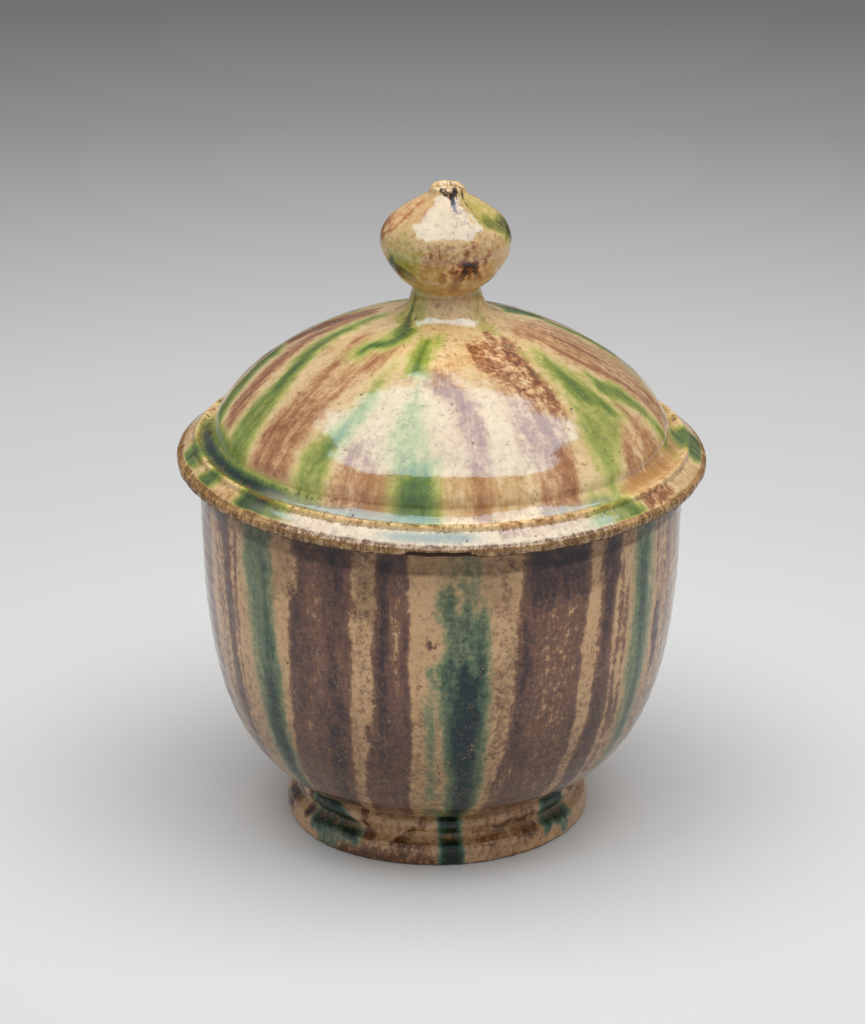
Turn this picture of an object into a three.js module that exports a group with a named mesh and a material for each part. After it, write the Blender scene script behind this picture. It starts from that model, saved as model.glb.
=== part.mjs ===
// A small covered bowl of thrown, lead-glazed earthenware, in millimetres with +Z up.
// The origin is on the table, on the bowl's axis, and the front of the bowl faces -Y.
// The potter's pieces are a bowl, a foot ring luted under it, and a cover with its
// locating ring and its knob luted on. The cover lifts straight off.
import * as THREE from "three";

// Steps round a turned piece and along a curve of its profile
const turnSteps = 48;
const knobTurnSteps = 32;
const curveSteps = 14;
const mouldingSteps = 6;
const roundingSteps = 3;

// Foot ring: a plain band, a cove and a small bead
const footRadius = 29.2;
const footHeight = 9.2;
const footStandingWidth = 3.3;
const footTopWidth = 4.1;
const footTopInset = 2.1;
const footEdgeRounding = 0.5;
const footBandHeight = 3.9;
const footBandTaper = 0.6;
const footCoveHeight = 2.7;
const footCoveDepth = 1.6;
const footBeadSwell = 0.7;

// Bowl: a full belly that rises nearly straight to a plain lip
const bowlRadius = 45.8;
const bowlHeight = 71.5;
const bowlWall = 3.4;
const bowlLipRounding = 0.7;
const bowlFloorThickness = 3;
const bowlFloorRounding = 4.8;
const bossDrop = 3;
const bossGap = 0.4;
const bellyPull = { across: 0.936, up: 0.133 };
const wallPull = { across: 0.98, up: 0.533 };

// Cover: a brim over the lip, a ridge with a gutter behind it, and a steep-shouldered dome
const brimOverhang = 4.2;
const brimEdgeHeight = 1.85;
const brimEdgeInset = 0.45;
const brimEdgeRounding = 0.45;
const ridgeOutset = 0.5;
const ridgeHeight = 4.75;
const ridgeWidth = 0.7;
const ridgeStep = 0.75;
const gutterDepth = 0.65;
const gutterFillet = 0.4;
const domeInset = 2.9;
const domeFootHeight = 6.65;
const coverHeight = 29.55;
const coverWall = 3.8;
const shoulderPull = { across: 0.006, up: 0.188 };
const crownPull = { across: 0.25, up: 0.617 };

// Locating ring: keeps the cover central in the bowl's mouth
const locatingRingPlay = 0.9;
const locatingRingThickness = 2.4;
const locatingRingDepth = 5.5;
const locatingRingRounding = 0.6;

// Knob: a flared neck, an onion and the stump of its tip, luted on a little off the axis
const knobOffAxis = 1.05;
const knobSeatMargin = 0.2;
const knobFootRadius = 8.9;
const knobNeckRadius = 6.8;
const knobNeckHeight = 4.4;
const knobUndercutRadius = 9.7;
const knobUndercutHeight = 8.2;
const knobBulbRadius = 12.1;
const knobBulbHeight = 13.8;
const knobShoulderRadius = 10.3;
const knobShoulderHeight = 18.4;
const knobTipRootRadius = 4.6;
const knobTipRootHeight = 21.5;
const knobTipRadius = 2.9;
const knobHeight = 23.6;
const knobTipRounding = 0.4;

// Seats and fits that follow from the sizes above
const lipPlane = bowlHeight;
const crownPlane = lipPlane + coverHeight;
const mouthRadius = bowlRadius - bowlWall;
const locatingRingRadius = mouthRadius - locatingRingPlay;
const coverMouthRadius = locatingRingRadius - locatingRingThickness;
const footTopRadius = footRadius - footTopInset;
const bossRadius = footTopRadius - footTopWidth - bossGap;

const at = (radius, height) => new THREE.Vector2(radius, height);

// A rounded corner of a profile, as points on a circle between two angles in degrees.
function rounding(centreRadius, centreHeight, radius, fromDegrees, toDegrees) {
  const from = THREE.MathUtils.degToRad(fromDegrees);
  const to = THREE.MathUtils.degToRad(toDegrees);
  const arc = new THREE.EllipseCurve(centreRadius, centreHeight, radius, radius, from, to);
  return arc.getPoints(roundingSteps);
}

// A cubic curve between two profile points, with its two handles given as shares of the
// way from the start to the end, across and up.
function bow(start, end, startPull, endPull) {
  const handle = (pull) => at(
    THREE.MathUtils.lerp(start.x, end.x, pull.across),
    THREE.MathUtils.lerp(start.y, end.y, pull.up),
  );
  return new THREE.CubicBezierCurve(start, handle(startPull), handle(endPull), end);
}

// The inner face of a wall: points of its outer curve, moved square to it by the wall's
// thickness, to the left of the curve's direction.
function innerFace(outerCurve, wall) {
  return outerCurve.getSpacedPoints(curveSteps).map((point, i) => {
    const along = outerCurve.getTangentAt(i / curveSteps);
    return at(point.x - along.y * wall, point.y + along.x * wall);
  });
}

// Turns a profile about +Z into one named mesh.
function turned(name, profile, steps, color, roughness) {
  const geometry = new THREE.LatheGeometry(profile, steps).rotateX(Math.PI / 2);
  const glaze = new THREE.MeshStandardMaterial({ color, roughness, metalness: 0 });
  const mesh = new THREE.Mesh(geometry, glaze);
  mesh.name = name;
  return mesh;
}

function makeFootRing() {
  const bandTop = at(footRadius - footBandTaper, footBandHeight);
  const coveTop = at(footTopRadius, footBandHeight + footCoveHeight);
  const top = at(footTopRadius, footHeight);
  const coveRadius = bandTop.x - footCoveDepth;
  const cove = new THREE.QuadraticBezierCurve(
    bandTop,
    at(2 * coveRadius - (bandTop.x + coveTop.x) / 2, (bandTop.y + coveTop.y) / 2),
    coveTop,
  );
  const bead = new THREE.QuadraticBezierCurve(
    coveTop,
    at(footTopRadius + 2 * footBeadSwell, (coveTop.y + top.y) / 2),
    top,
  );
  const standingInner = at(footRadius - footStandingWidth, 0);
  return turned("foot_ring", [
    standingInner,
    ...rounding(footRadius - footEdgeRounding, footEdgeRounding, footEdgeRounding, -90, 0),
    ...cove.getPoints(mouldingSteps),
    ...bead.getPoints(mouldingSteps).slice(1),
    at(footTopRadius - footTopWidth, footHeight),
    standingInner,
  ], turnSteps, 0x94765c, 0.36);
}

// The bowl stands on the foot ring's top, and a shallow boss under it locates the ring.
function makeBowl() {
  const bossPlane = footHeight - bossDrop;
  const floorPlane = footHeight + bowlFloorThickness;
  const lipEdge = bowlHeight - bowlLipRounding;
  const outside = bow(at(footTopRadius, footHeight), at(bowlRadius, lipEdge), bellyPull, wallPull);
  const wallInside = innerFace(outside, bowlWall)
    .filter((point) => point.y > floorPlane + bowlFloorRounding)
    .reverse();
  const [above, wallFoot] = wallInside.slice(-2);
  const lean = (above.x - wallFoot.x) / (above.y - wallFoot.y);
  const corner = at(wallFoot.x - lean * (wallFoot.y - floorPlane), floorPlane);
  const floorCorner = new THREE.QuadraticBezierCurve(
    wallFoot,
    corner,
    at(corner.x - bowlFloorRounding, floorPlane),
  );
  return turned("bowl_body", [
    at(0, bossPlane),
    at(bossRadius, bossPlane),
    at(bossRadius, footHeight),
    ...outside.getPoints(curveSteps),
    ...rounding(bowlRadius - bowlLipRounding, lipEdge, bowlLipRounding, 0, 90).slice(1),
    ...rounding(mouthRadius + bowlLipRounding, lipEdge, bowlLipRounding, 90, 180),
    ...wallInside.slice(1),
    ...floorCorner.getPoints(roundingSteps).slice(1),
    at(0, floorPlane),
  ], turnSteps, 0x83695a, 0.32);
}

// The cover's brim rests on the lip, and the top of its dome is flat for the knob.
function makeCover() {
  const brimRadius = bowlRadius + brimOverhang;
  const ridge = at(bowlRadius + ridgeOutset, lipPlane + ridgeHeight);
  const domeFoot = at(bowlRadius - domeInset, lipPlane + domeFootHeight);
  const crownRadius = knobFootRadius + knobOffAxis + knobSeatMargin;
  const gutter = new THREE.QuadraticBezierCurve(
    ridge,
    at(domeFoot.x + gutterFillet, ridge.y - 2 * gutterDepth),
    domeFoot,
  );
  const dome = bow(domeFoot, at(crownRadius, crownPlane), shoulderPull, crownPull);
  const hollow = innerFace(dome, coverWall).reverse();
  return turned("cover_dome", [
    at(coverMouthRadius, lipPlane),
    ...rounding(brimRadius - brimEdgeRounding, lipPlane + brimEdgeRounding, brimEdgeRounding, -90, 0),
    at(brimRadius - brimEdgeInset, lipPlane + brimEdgeHeight),
    at(ridge.x + ridgeWidth, ridge.y - ridgeStep),
    ...gutter.getPoints(mouldingSteps),
    ...dome.getPoints(curveSteps).slice(1),
    at(0, crownPlane),
    at(0, hollow[0].y),
    ...hollow,
    at(coverMouthRadius, lipPlane),
  ], turnSteps, 0xc09a66, 0.22);
}

function makeLocatingRing() {
  const lowerPlane = lipPlane - locatingRingDepth;
  const cornerRadius = locatingRingRadius - locatingRingRounding;
  return turned("cover_locating_ring", [
    at(coverMouthRadius, lowerPlane),
    ...rounding(cornerRadius, lowerPlane + locatingRingRounding, locatingRingRounding, -90, 0),
    at(locatingRingRadius, lipPlane),
    at(coverMouthRadius, lipPlane),
    at(coverMouthRadius, lowerPlane),
  ], turnSteps, 0xc8a87c, 0.6);
}

function makeKnob() {
  const outline = new THREE.SplineCurve([
    at(knobFootRadius, 0),
    at(knobNeckRadius, knobNeckHeight),
    at(knobUndercutRadius, knobUndercutHeight),
    at(knobBulbRadius, knobBulbHeight),
    at(knobShoulderRadius, knobShoulderHeight),
    at(knobTipRootRadius, knobTipRootHeight),
    at(knobTipRadius, knobHeight - knobTipRounding),
  ]);
  const knob = turned("knob", [
    at(0, 0),
    ...outline.getPoints(2 * curveSteps),
    at(knobTipRadius - knobTipRounding, knobHeight),
    at(0, knobHeight),
  ], knobTurnSteps, 0xb98f58, 0.22);
  knob.position.set(knobOffAxis, 0, crownPlane);
  return knob;
}

const bowl = new THREE.Group();
bowl.name = "bowl";
bowl.add(makeFootRing(), makeBowl());

const cover = new THREE.Group();
cover.name = "cover";
cover.add(makeCover(), makeLocatingRing(), makeKnob());

const coveredBowl = new THREE.Group();
coveredBowl.name = "covered_bowl";
coveredBowl.add(bowl, cover);

export default coveredBowl;
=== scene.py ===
import bpy
import numpy as np
from mathutils import Euler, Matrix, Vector


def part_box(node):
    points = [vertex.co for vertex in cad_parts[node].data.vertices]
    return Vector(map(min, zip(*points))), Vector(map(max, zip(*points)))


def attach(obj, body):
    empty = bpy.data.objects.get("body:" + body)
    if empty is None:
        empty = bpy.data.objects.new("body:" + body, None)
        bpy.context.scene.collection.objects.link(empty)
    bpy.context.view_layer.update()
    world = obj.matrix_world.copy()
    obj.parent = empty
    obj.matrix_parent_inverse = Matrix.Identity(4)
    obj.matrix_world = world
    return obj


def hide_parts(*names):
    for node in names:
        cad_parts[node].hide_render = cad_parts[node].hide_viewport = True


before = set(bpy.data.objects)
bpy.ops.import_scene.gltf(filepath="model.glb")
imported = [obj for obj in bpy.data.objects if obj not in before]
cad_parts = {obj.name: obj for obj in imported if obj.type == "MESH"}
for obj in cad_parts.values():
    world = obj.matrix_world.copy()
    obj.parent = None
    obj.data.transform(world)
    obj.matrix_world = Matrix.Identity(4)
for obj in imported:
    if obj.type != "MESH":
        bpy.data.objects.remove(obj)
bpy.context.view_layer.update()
mm = 0.001
print("frame loaded")


def cadSize(node):
    # outer radius, lowest and highest level of a CAD node, in millimetres
    low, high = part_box(node)
    return (high.y - low.y) / 2 / mm, low.z / mm, high.z / mm


bowlRadius, bossLevel, lipLevel = cadSize("bowl_body")
footRadius, tableLevel, seatLevel = cadSize("foot_ring")
brimRadius, brimLevel, crownLevel = cadSize("cover_dome")
ringRadius, ringLevel, ringTop = cadSize("cover_locating_ring")
knobRadius, knobBase, knobTop = cadSize("knob")


# Profiles: each is an array of (radius, level) points

def bezier(start, startHandle, endHandle, end, count):
    # cubic curve: (1-t)^3 a + 3(1-t)^2 t b + 3(1-t)t^2 c + t^3 d
    t = np.linspace(0, 1, count)[:, None]
    a, b, c, d = (np.array(p, float) for p in (start, startHandle, endHandle, end))
    return (1 - t) ** 3 * a + 3 * (1 - t) ** 2 * t * b + 3 * (1 - t) * t ** 2 * c + t ** 3 * d


def line(start, end, count):
    # straight stretch: a + t (b - a)
    t = np.linspace(0, 1, count)[:, None]
    return np.array(start, float) + t * (np.array(end, float) - np.array(start, float))


def arc(centre, radius, fromDegrees, toDegrees, count):
    # rounded corner: centre + radius (cos a, sin a)
    a = np.radians(np.linspace(fromDegrees, toDegrees, count))
    return np.array(centre, float) + radius * np.c_[np.cos(a), np.sin(a)]


def smoothThrough(points, count):
    # Catmull-Rom spline: on each stretch 0.5 (2p1 + (p2-p0)t + (2p0-5p1+4p2-p3)t^2 + (3p1-p0-3p2+p3)t^3)
    p = np.array(points, float)
    p = np.vstack([2 * p[0] - p[1], p, 2 * p[-1] - p[-2]])
    u = np.linspace(0, len(points) - 1, count)
    i = np.minimum(u.astype(int), len(points) - 2)
    t = (u - i)[:, None]
    p0, p1, p2, p3 = p[i], p[i + 1], p[i + 2], p[i + 3]
    return 0.5 * (2 * p1 + (p2 - p0) * t + (2 * p0 - 5 * p1 + 4 * p2 - p3) * t ** 2
                  + (3 * p1 - p0 - 3 * p2 + p3) * t ** 3)


def insideOf(outer, wall):
    # each point of an outer profile moved square to it, to its left, by the wall's thickness
    along = np.gradient(outer, axis=0)
    along /= np.linalg.norm(along, axis=1)[:, None]
    return outer + wall * np.c_[-along[:, 1], along[:, 0]]


def joined(*spans):
    # one profile from several spans, without the points that two spans share
    points = np.vstack(spans)
    step = np.linalg.norm(np.diff(points, axis=0), axis=1)
    return points[np.r_[True, step > 1e-6]]


def curves(start, spans):
    # cubic curves end to end: a span is (its start's handle, its end's handle, its end, its points)
    found = []
    for startHandle, endHandle, end, count in spans:
        found.append(bezier(start, startHandle, endHandle, end, count))
        start = end
    return joined(*found)


def runLength(profile, startPoint):
    # distance along the profile from its point nearest to startPoint
    length = np.r_[0, np.cumsum(np.linalg.norm(np.diff(profile, axis=0), axis=1))]
    nearest = np.argmin(np.linalg.norm(profile - np.array(startPoint), axis=1))
    return length - length[nearest]


def smoothStep(x):
    # 0 below 0, 1 above 1 and 3x^2 - 2x^3 between
    x = np.clip(x, 0, 1)
    return x * x * (3 - 2 * x)


def bell(x, middle, spread):
    # 1 at the middle: exp(-((x - middle) / spread)^2)
    return np.exp(-((x - middle) / spread) ** 2)


def degreesFrom(middle, azimuth):
    # how far round the pot from a middle in degrees, -180 to 180
    return (np.degrees(azimuth) - middle + 180) % 360 - 180


def ripple(azimuth, level, size, seed, waves, lowest, highest, levelRate):
    # sum of sines round the piece, sin(k az + m level + phase), with k from lowest to highest; a
    # piece's dictionary names the numbers from size to levelRate as one ripple
    rng = np.random.default_rng(seed)
    total = np.zeros(np.broadcast(azimuth, level).shape)
    for k in rng.integers(lowest, highest + 1, waves):
        rate, phase = rng.uniform(-levelRate, levelRate), rng.uniform(0, 2 * np.pi)
        total += np.sin(k * azimuth + rate * level + phase)
    return size * (total / np.sqrt(waves))


def patches(azimuth, level, ringSize, across, up, seed):
    # uneven patches from -1 to 1: random values on a lattice round a ring of radius ringSize, its
    # cells across wide and up high, and between them blended by 3t^2 - 2t^3 both ways
    rng = np.random.default_rng(seed)
    cells, rows = max(4, round(2 * np.pi * ringSize / across)), 97
    lattice = rng.uniform(-1, 1, (rows, cells))
    u = azimuth / (2 * np.pi) * cells % cells
    v = level / up % rows
    i, j = np.floor(u).astype(int) % cells, np.floor(v).astype(int) % rows
    s, t = smoothStep(u - np.floor(u)), smoothStep(v - np.floor(v))
    i, j, s, t = np.broadcast_arrays(i, j, s, t)
    besides, above = (i + 1) % cells, (j + 1) % rows
    lower = lattice[j, i] * (1 - s) + lattice[j, besides] * s
    upper = lattice[above, i] * (1 - s) + lattice[above, besides] * s
    return lower * (1 - t) + upper * t


# Washes of colour: listed runs of glaze. A run has its strength, the softness of its
# edges and its outline as (level, left edge, right edge).

runs = {
    "kinds": ["brown", "bare", "green", "amber", "speck", "ink", "veil", "curdle", "stain", "scored"],
    "firstSeed": 100,
    "seedStep": 5,
    "coarseShare": 0.50,          # of the wander of a run's sides; the habit's fray is the fine share
    "coarse": (3.2, 8),           # patches across and up, in times the wander
    "fine": (1.3, 2.6),
    "dripWidth": 1.6,
    "dripLength": 60,
}


def runMask(azimuth, level, radius, outlines, habit, seed):
    # for each run: 0.5 + (distance inside its edges) / (2 softness), and the strongest run wins;
    # its sides wander in two sizes of patches, and its ends drip by narrow columns
    ringSize, wander = habit["ringSize"], habit["wander"]
    (coarseWide, coarseHigh), (fineWide, fineHigh) = runs["coarse"], runs["fine"]
    coarse = patches(azimuth, level, ringSize, coarseWide * wander, coarseHigh * wander, seed)
    fine = patches(azimuth, level, ringSize, fineWide * wander, fineHigh * wander, seed + 1)
    columns = patches(azimuth, level, ringSize, runs["dripWidth"] * wander, runs["dripLength"], seed + 2)
    stray = wander * (runs["coarseShare"] * coarse + habit["fray"] * fine)
    drip = habit["drip"] * columns + stray
    total = np.zeros(stray.shape)
    for strength, firmness, outline in outlines:
        softness = firmness * habit["soften"]
        levels, lefts, rights = np.array(sorted(outline), float).T
        left, right = np.interp(level, levels, lefts), np.interp(level, levels, rights)
        fromMiddle = degreesFrom((left + right) / 2, azimuth)
        acrossIn = np.radians((right - left) / 2 - abs(fromMiddle)) * radius + stray
        upIn = np.minimum(level - levels[0], levels[-1] - level) + drip
        within = np.clip(0.5 + np.minimum(acrossIn, upIn + softness) / (2 * softness), 0, 1)
        total = np.maximum(total, strength * smoothStep(within))
    return total


def pooled(azimuth, level, pools):
    # glaze gathered in a hollow: strength exp(-((level - middle) / spread)^2) between two azimuths,
    # each end fading over its own width, and the strongest pool wins
    total = np.zeros(np.broadcast(azimuth, level).shape)
    for strength, middle, spread, left, right, fade in pools:
        fromMiddle = abs(degreesFrom((left + right) / 2, azimuth))
        within = smoothStep(((right - left) / 2 - fromMiddle) / fade + 0.5)
        total = np.maximum(total, strength * bell(level, middle, spread) * within)
    return total


def washesOf(piece, azimuth, level, radius, glazed=1.0):
    # the colour washes of a piece, runs and pools, shown where glazed is 1; a bare run lies where
    # the brown is worn thin
    found = {}
    for place, kind in enumerate(runs["kinds"]):
        seed = runs["firstSeed"] + runs["seedStep"] * place
        found[kind] = runMask(azimuth, level, radius, piece.get(kind, []), piece["habit"], seed)
    found["brown"] = found["brown"] - found.pop("bare")
    for kind, pools in piece.get("pools", {}).items():
        found[kind] = np.maximum(found.get(kind, 0), pooled(azimuth, level, pools))
    return {kind: wash * glazed for kind, wash in found.items()}


# Mesh making

def turnedMesh(name, profile, columns, shape, paint, closed=False):
    # grid surface: x = r sin(az), y = -r cos(az), z = level, after shape() has moved
    # (r, level, azimuth) and given a sideways lean; paint() gives the colour washes
    onAxis = profile[:, 0] < 1e-6
    azimuth = np.arange(columns)[None, :] * 2 * np.pi / columns
    radius, level = profile[:, :1], profile[:, 1:]
    r, z, leanX = shape(azimuth, radius, level)
    x = np.where(radius > 1e-6, r * np.sin(azimuth), 0) + leanX
    y = np.where(radius > 1e-6, -r * np.cos(azimuth), 0)
    points = np.stack(np.broadcast_arrays(x, y, z), -1)
    rows = len(profile)
    index = np.arange(rows * columns).reshape(rows, columns)
    index[onAxis] = index[onAxis][:, :1]
    upper = np.roll(index, -1, 0) if closed else index[1:]
    lower = index if closed else index[:-1]
    quads = np.stack([lower, np.roll(lower, -1, 1), np.roll(upper, -1, 1), upper], -1).reshape(-1, 4)
    points[onAxis] = points[onAxis].mean(1, keepdims=True)
    used, faces = np.unique(quads, return_inverse=True)
    faces = faces.reshape(-1, 4)
    sameStart = faces[:, 0] == faces[:, 1]
    sameEnd = faces[:, 2] == faces[:, 3]
    polygons = (faces[~sameStart & ~sameEnd].tolist() + faces[sameStart][:, [0, 2, 3]].tolist()
                + faces[sameEnd][:, [0, 1, 2]].tolist())
    mesh = bpy.data.meshes.new(name)
    mesh.from_pydata((points.reshape(-1, 3)[used] * mm).tolist(), [], polygons)
    mesh.polygons.foreach_set("use_smooth", [True] * len(mesh.polygons))
    for key, values in paint(azimuth, radius, level).items():
        vector = np.ndim(values) == 3
        layer = mesh.attributes.new(key, "FLOAT_VECTOR" if vector else "FLOAT", "POINT")
        full = np.broadcast_to(values, (rows, columns, 3) if vector else (rows, columns))
        flat = full.reshape(-1, 3)[used] if vector else full.reshape(-1)[used]
        layer.data.foreach_set("vector" if vector else "value", flat.astype(np.float32).ravel())
    mesh.update()
    piece = bpy.data.objects.new(name, mesh)
    bpy.context.scene.collection.objects.link(piece)
    return piece


def flowOf(azimuth, level, ringSize, stretch):
    # a place in the glaze's run: round the piece on a ring, and down it, drawn out by stretch
    return np.stack(np.broadcast_arrays(
        ringSize * np.sin(azimuth), ringSize * np.cos(azimuth), level / stretch), -1)


# Shader maths

class Port:
    # a value in a material; + - * / and ** on ports and numbers add Math nodes
    def __init__(self, tree, socket):
        self.tree, self.socket = tree, socket

    def maths(self, operation, a, b):
        return self.tree.add("ShaderNodeMath", {"operation": operation}, {0: a, 1: b})

    def __add__(self, other):
        return self.maths("ADD", self, other)

    def __radd__(self, other):
        return self.maths("ADD", other, self)

    def __sub__(self, other):
        return self.maths("SUBTRACT", self, other)

    def __rsub__(self, other):
        return self.maths("SUBTRACT", other, self)

    def __mul__(self, other):
        return self.maths("MULTIPLY", self, other)

    def __rmul__(self, other):
        return self.maths("MULTIPLY", other, self)

    def __truediv__(self, other):
        return self.maths("DIVIDE", self, other)

    def __pow__(self, other):
        return self.maths("POWER", self, other)


class Tree:
    # the node tree of a material or of the world
    def __init__(self, owner):
        self.data = owner
        self.data.use_nodes = True
        self.nodes, self.links = self.data.node_tree.nodes, self.data.node_tree.links
        self.nodes.clear()

    def add(self, kind, settings, sockets, out=0):
        # any node: its settings first, a ramp's stops among them, then its sockets' values or links
        node = self.nodes.new(kind)
        for key, value in settings.items():
            if key == "stops":
                elements = node.color_ramp.elements
                while len(elements) < len(value):
                    elements.new(1.0)
                for element, (position, tone) in zip(elements, value):
                    element.position, element.color = position, tone
            else:
                setattr(node, key, value)
        for key, value in sockets.items():
            if isinstance(value, Port):
                self.links.new(value.socket, node.inputs[key])
            else:
                node.inputs[key].default_value = value
        return Port(self, node.outputs[out] if node.outputs else None)

    def attribute(self, name, out="Fac"):
        return self.add("ShaderNodeAttribute", {"attribute_name": name}, {}, out)

    def noise(self, vector, scale, detail=2.0, roughness=0.5, out=0):
        return self.add("ShaderNodeTexNoise", {"noise_dimensions": "3D"},
                        {"Vector": vector, "Scale": scale, "Detail": detail, "Roughness": roughness}, out)

    def unrest(self, vector, scale, detail=2.0, roughness=0.5):
        # noise spread to about -1 to 1
        return (self.noise(vector, scale, detail, roughness) - 0.5) * 6

    def cells(self, vector, scale, feature="F1"):
        # distance from the middle of a cell, or from its edge
        return self.add("ShaderNodeTexVoronoi", {"feature": feature},
                        {"Vector": vector, "Scale": scale}, "Distance")

    def step(self, value, low, high):
        # 0 below low, 1 above high and smooth between
        return self.add("ShaderNodeMapRange", {"interpolation_type": "SMOOTHSTEP"},
                        {"Value": value, "From Min": low, "From Max": high})

    def mix(self, factor, a, b, blend="MIX"):
        return self.add("ShaderNodeMix", {"data_type": "RGBA", "blend_type": blend, "clamp_factor": True},
                        {0: factor, 6: a, 7: b}, 2)

    def ramp(self, value, deepest, tones):
        # colours by value: tones is a list of (value, red, green, blue) with values up to the deepest
        stops = [(depth / deepest, colour(*tone)) for depth, *tone in tones]
        return self.add("ShaderNodeValToRGB", {"stops": stops}, {0: value / deepest})

    def scaled(self, vector, factor):
        return self.add("ShaderNodeVectorMath", {"operation": "SCALE"}, {0: vector, "Scale": factor})

    def moved(self, vector, shift):
        return self.add("ShaderNodeVectorMath", {"operation": "ADD"}, {0: vector, 1: shift})

    def finish(self, shader, output="ShaderNodeOutputMaterial"):
        self.add(output, {}, {"Surface": shader})
        return self.data


def colour(red, green, blue):
    # a colour as seen, 0 to 255, turned into the linear light that Blender reads
    c = np.array([red, green, blue]) / 255
    return (*np.where(c > 0.04045, ((c + 0.055) / 1.055) ** 2.4, c / 12.92), 1.0)


# Colours are red, green and blue, 0 to 255; a wash's come after the depths at which they are met
glazeLook = {
    "cream": (243, 212, 160),
    "buff": (230, 188, 130),
    "browns": [(0.10, 222, 172, 118), (0.50, 196, 138, 88), (0.90, 162, 104, 64), (1.30, 104, 64, 42)],
    "greens": [(0.10, 226, 210, 132), (0.45, 186, 186, 94), (0.75, 132, 148, 60), (1.05, 84, 108, 42),
               (1.40, 34, 46, 30)],
    "amber": (190, 138, 66),
    # painted reflection: pale grey laid where the softbox reflects
    "veil": (172, 172, 150),
    "dirt": (84, 60, 40),
    "speck": (150, 108, 70),
    "pale": (236, 206, 158),
    # multiplied over the colour: stains, and painted shade
    "stain": (176, 168, 150),
    "ink": (26, 30, 44),
    "deepest": 1.5,               # depth of a wash at the end of its row of colours
    "brownCover": (0.02, 0.80),   # depth where it starts to show and where it hides the ground
    "greenCover": (0.02, 0.56),
    # noise on the object: features per millimetre, detail, roughness
    "cloud": (0.10, 2.0, 0.5),
    "wave": (0.24, 1.0, 0.5),
    "mottle": (0.60, 4.0, 0.6),
    "fleck": (1.15, 2.0, 0.6),
    "grain": (2.6, 3.0, 0.65),
    # noise along the glaze's run
    "streak": (0.50, 3.0, 0.5),
    "fibre": (1.8, 3.0, 0.6),
    # marks: cells per millimetre, and the distances at which a mark is full and gone
    "pit": (0.22, 0.045, 0.075),
    "pinhole": (0.62, 0.06, 0.11),
    "pepperDot": (1.5, 0.10, 0.22),
    "crackLine": (0.50, 0.008, 0.032),
    "streaks": 0.15,              # how strongly each pattern stirs the depth of a wash
    "fibres": 0.07,
    "mottling": 0.11,
    "flecks": 0.07,
    "graining": 0.06,
    "greenStir": 0.60,
    "pepper": 0.55,
    "scratches": 0.6,
    "roughness": 0.09,
    "gloss": 0.90,
    "glazeIndex": 1.62,
    "sheen": (0.45, 0.75, 1.0, 1.0),
    "bumpDepth": 0.05,
}


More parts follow.
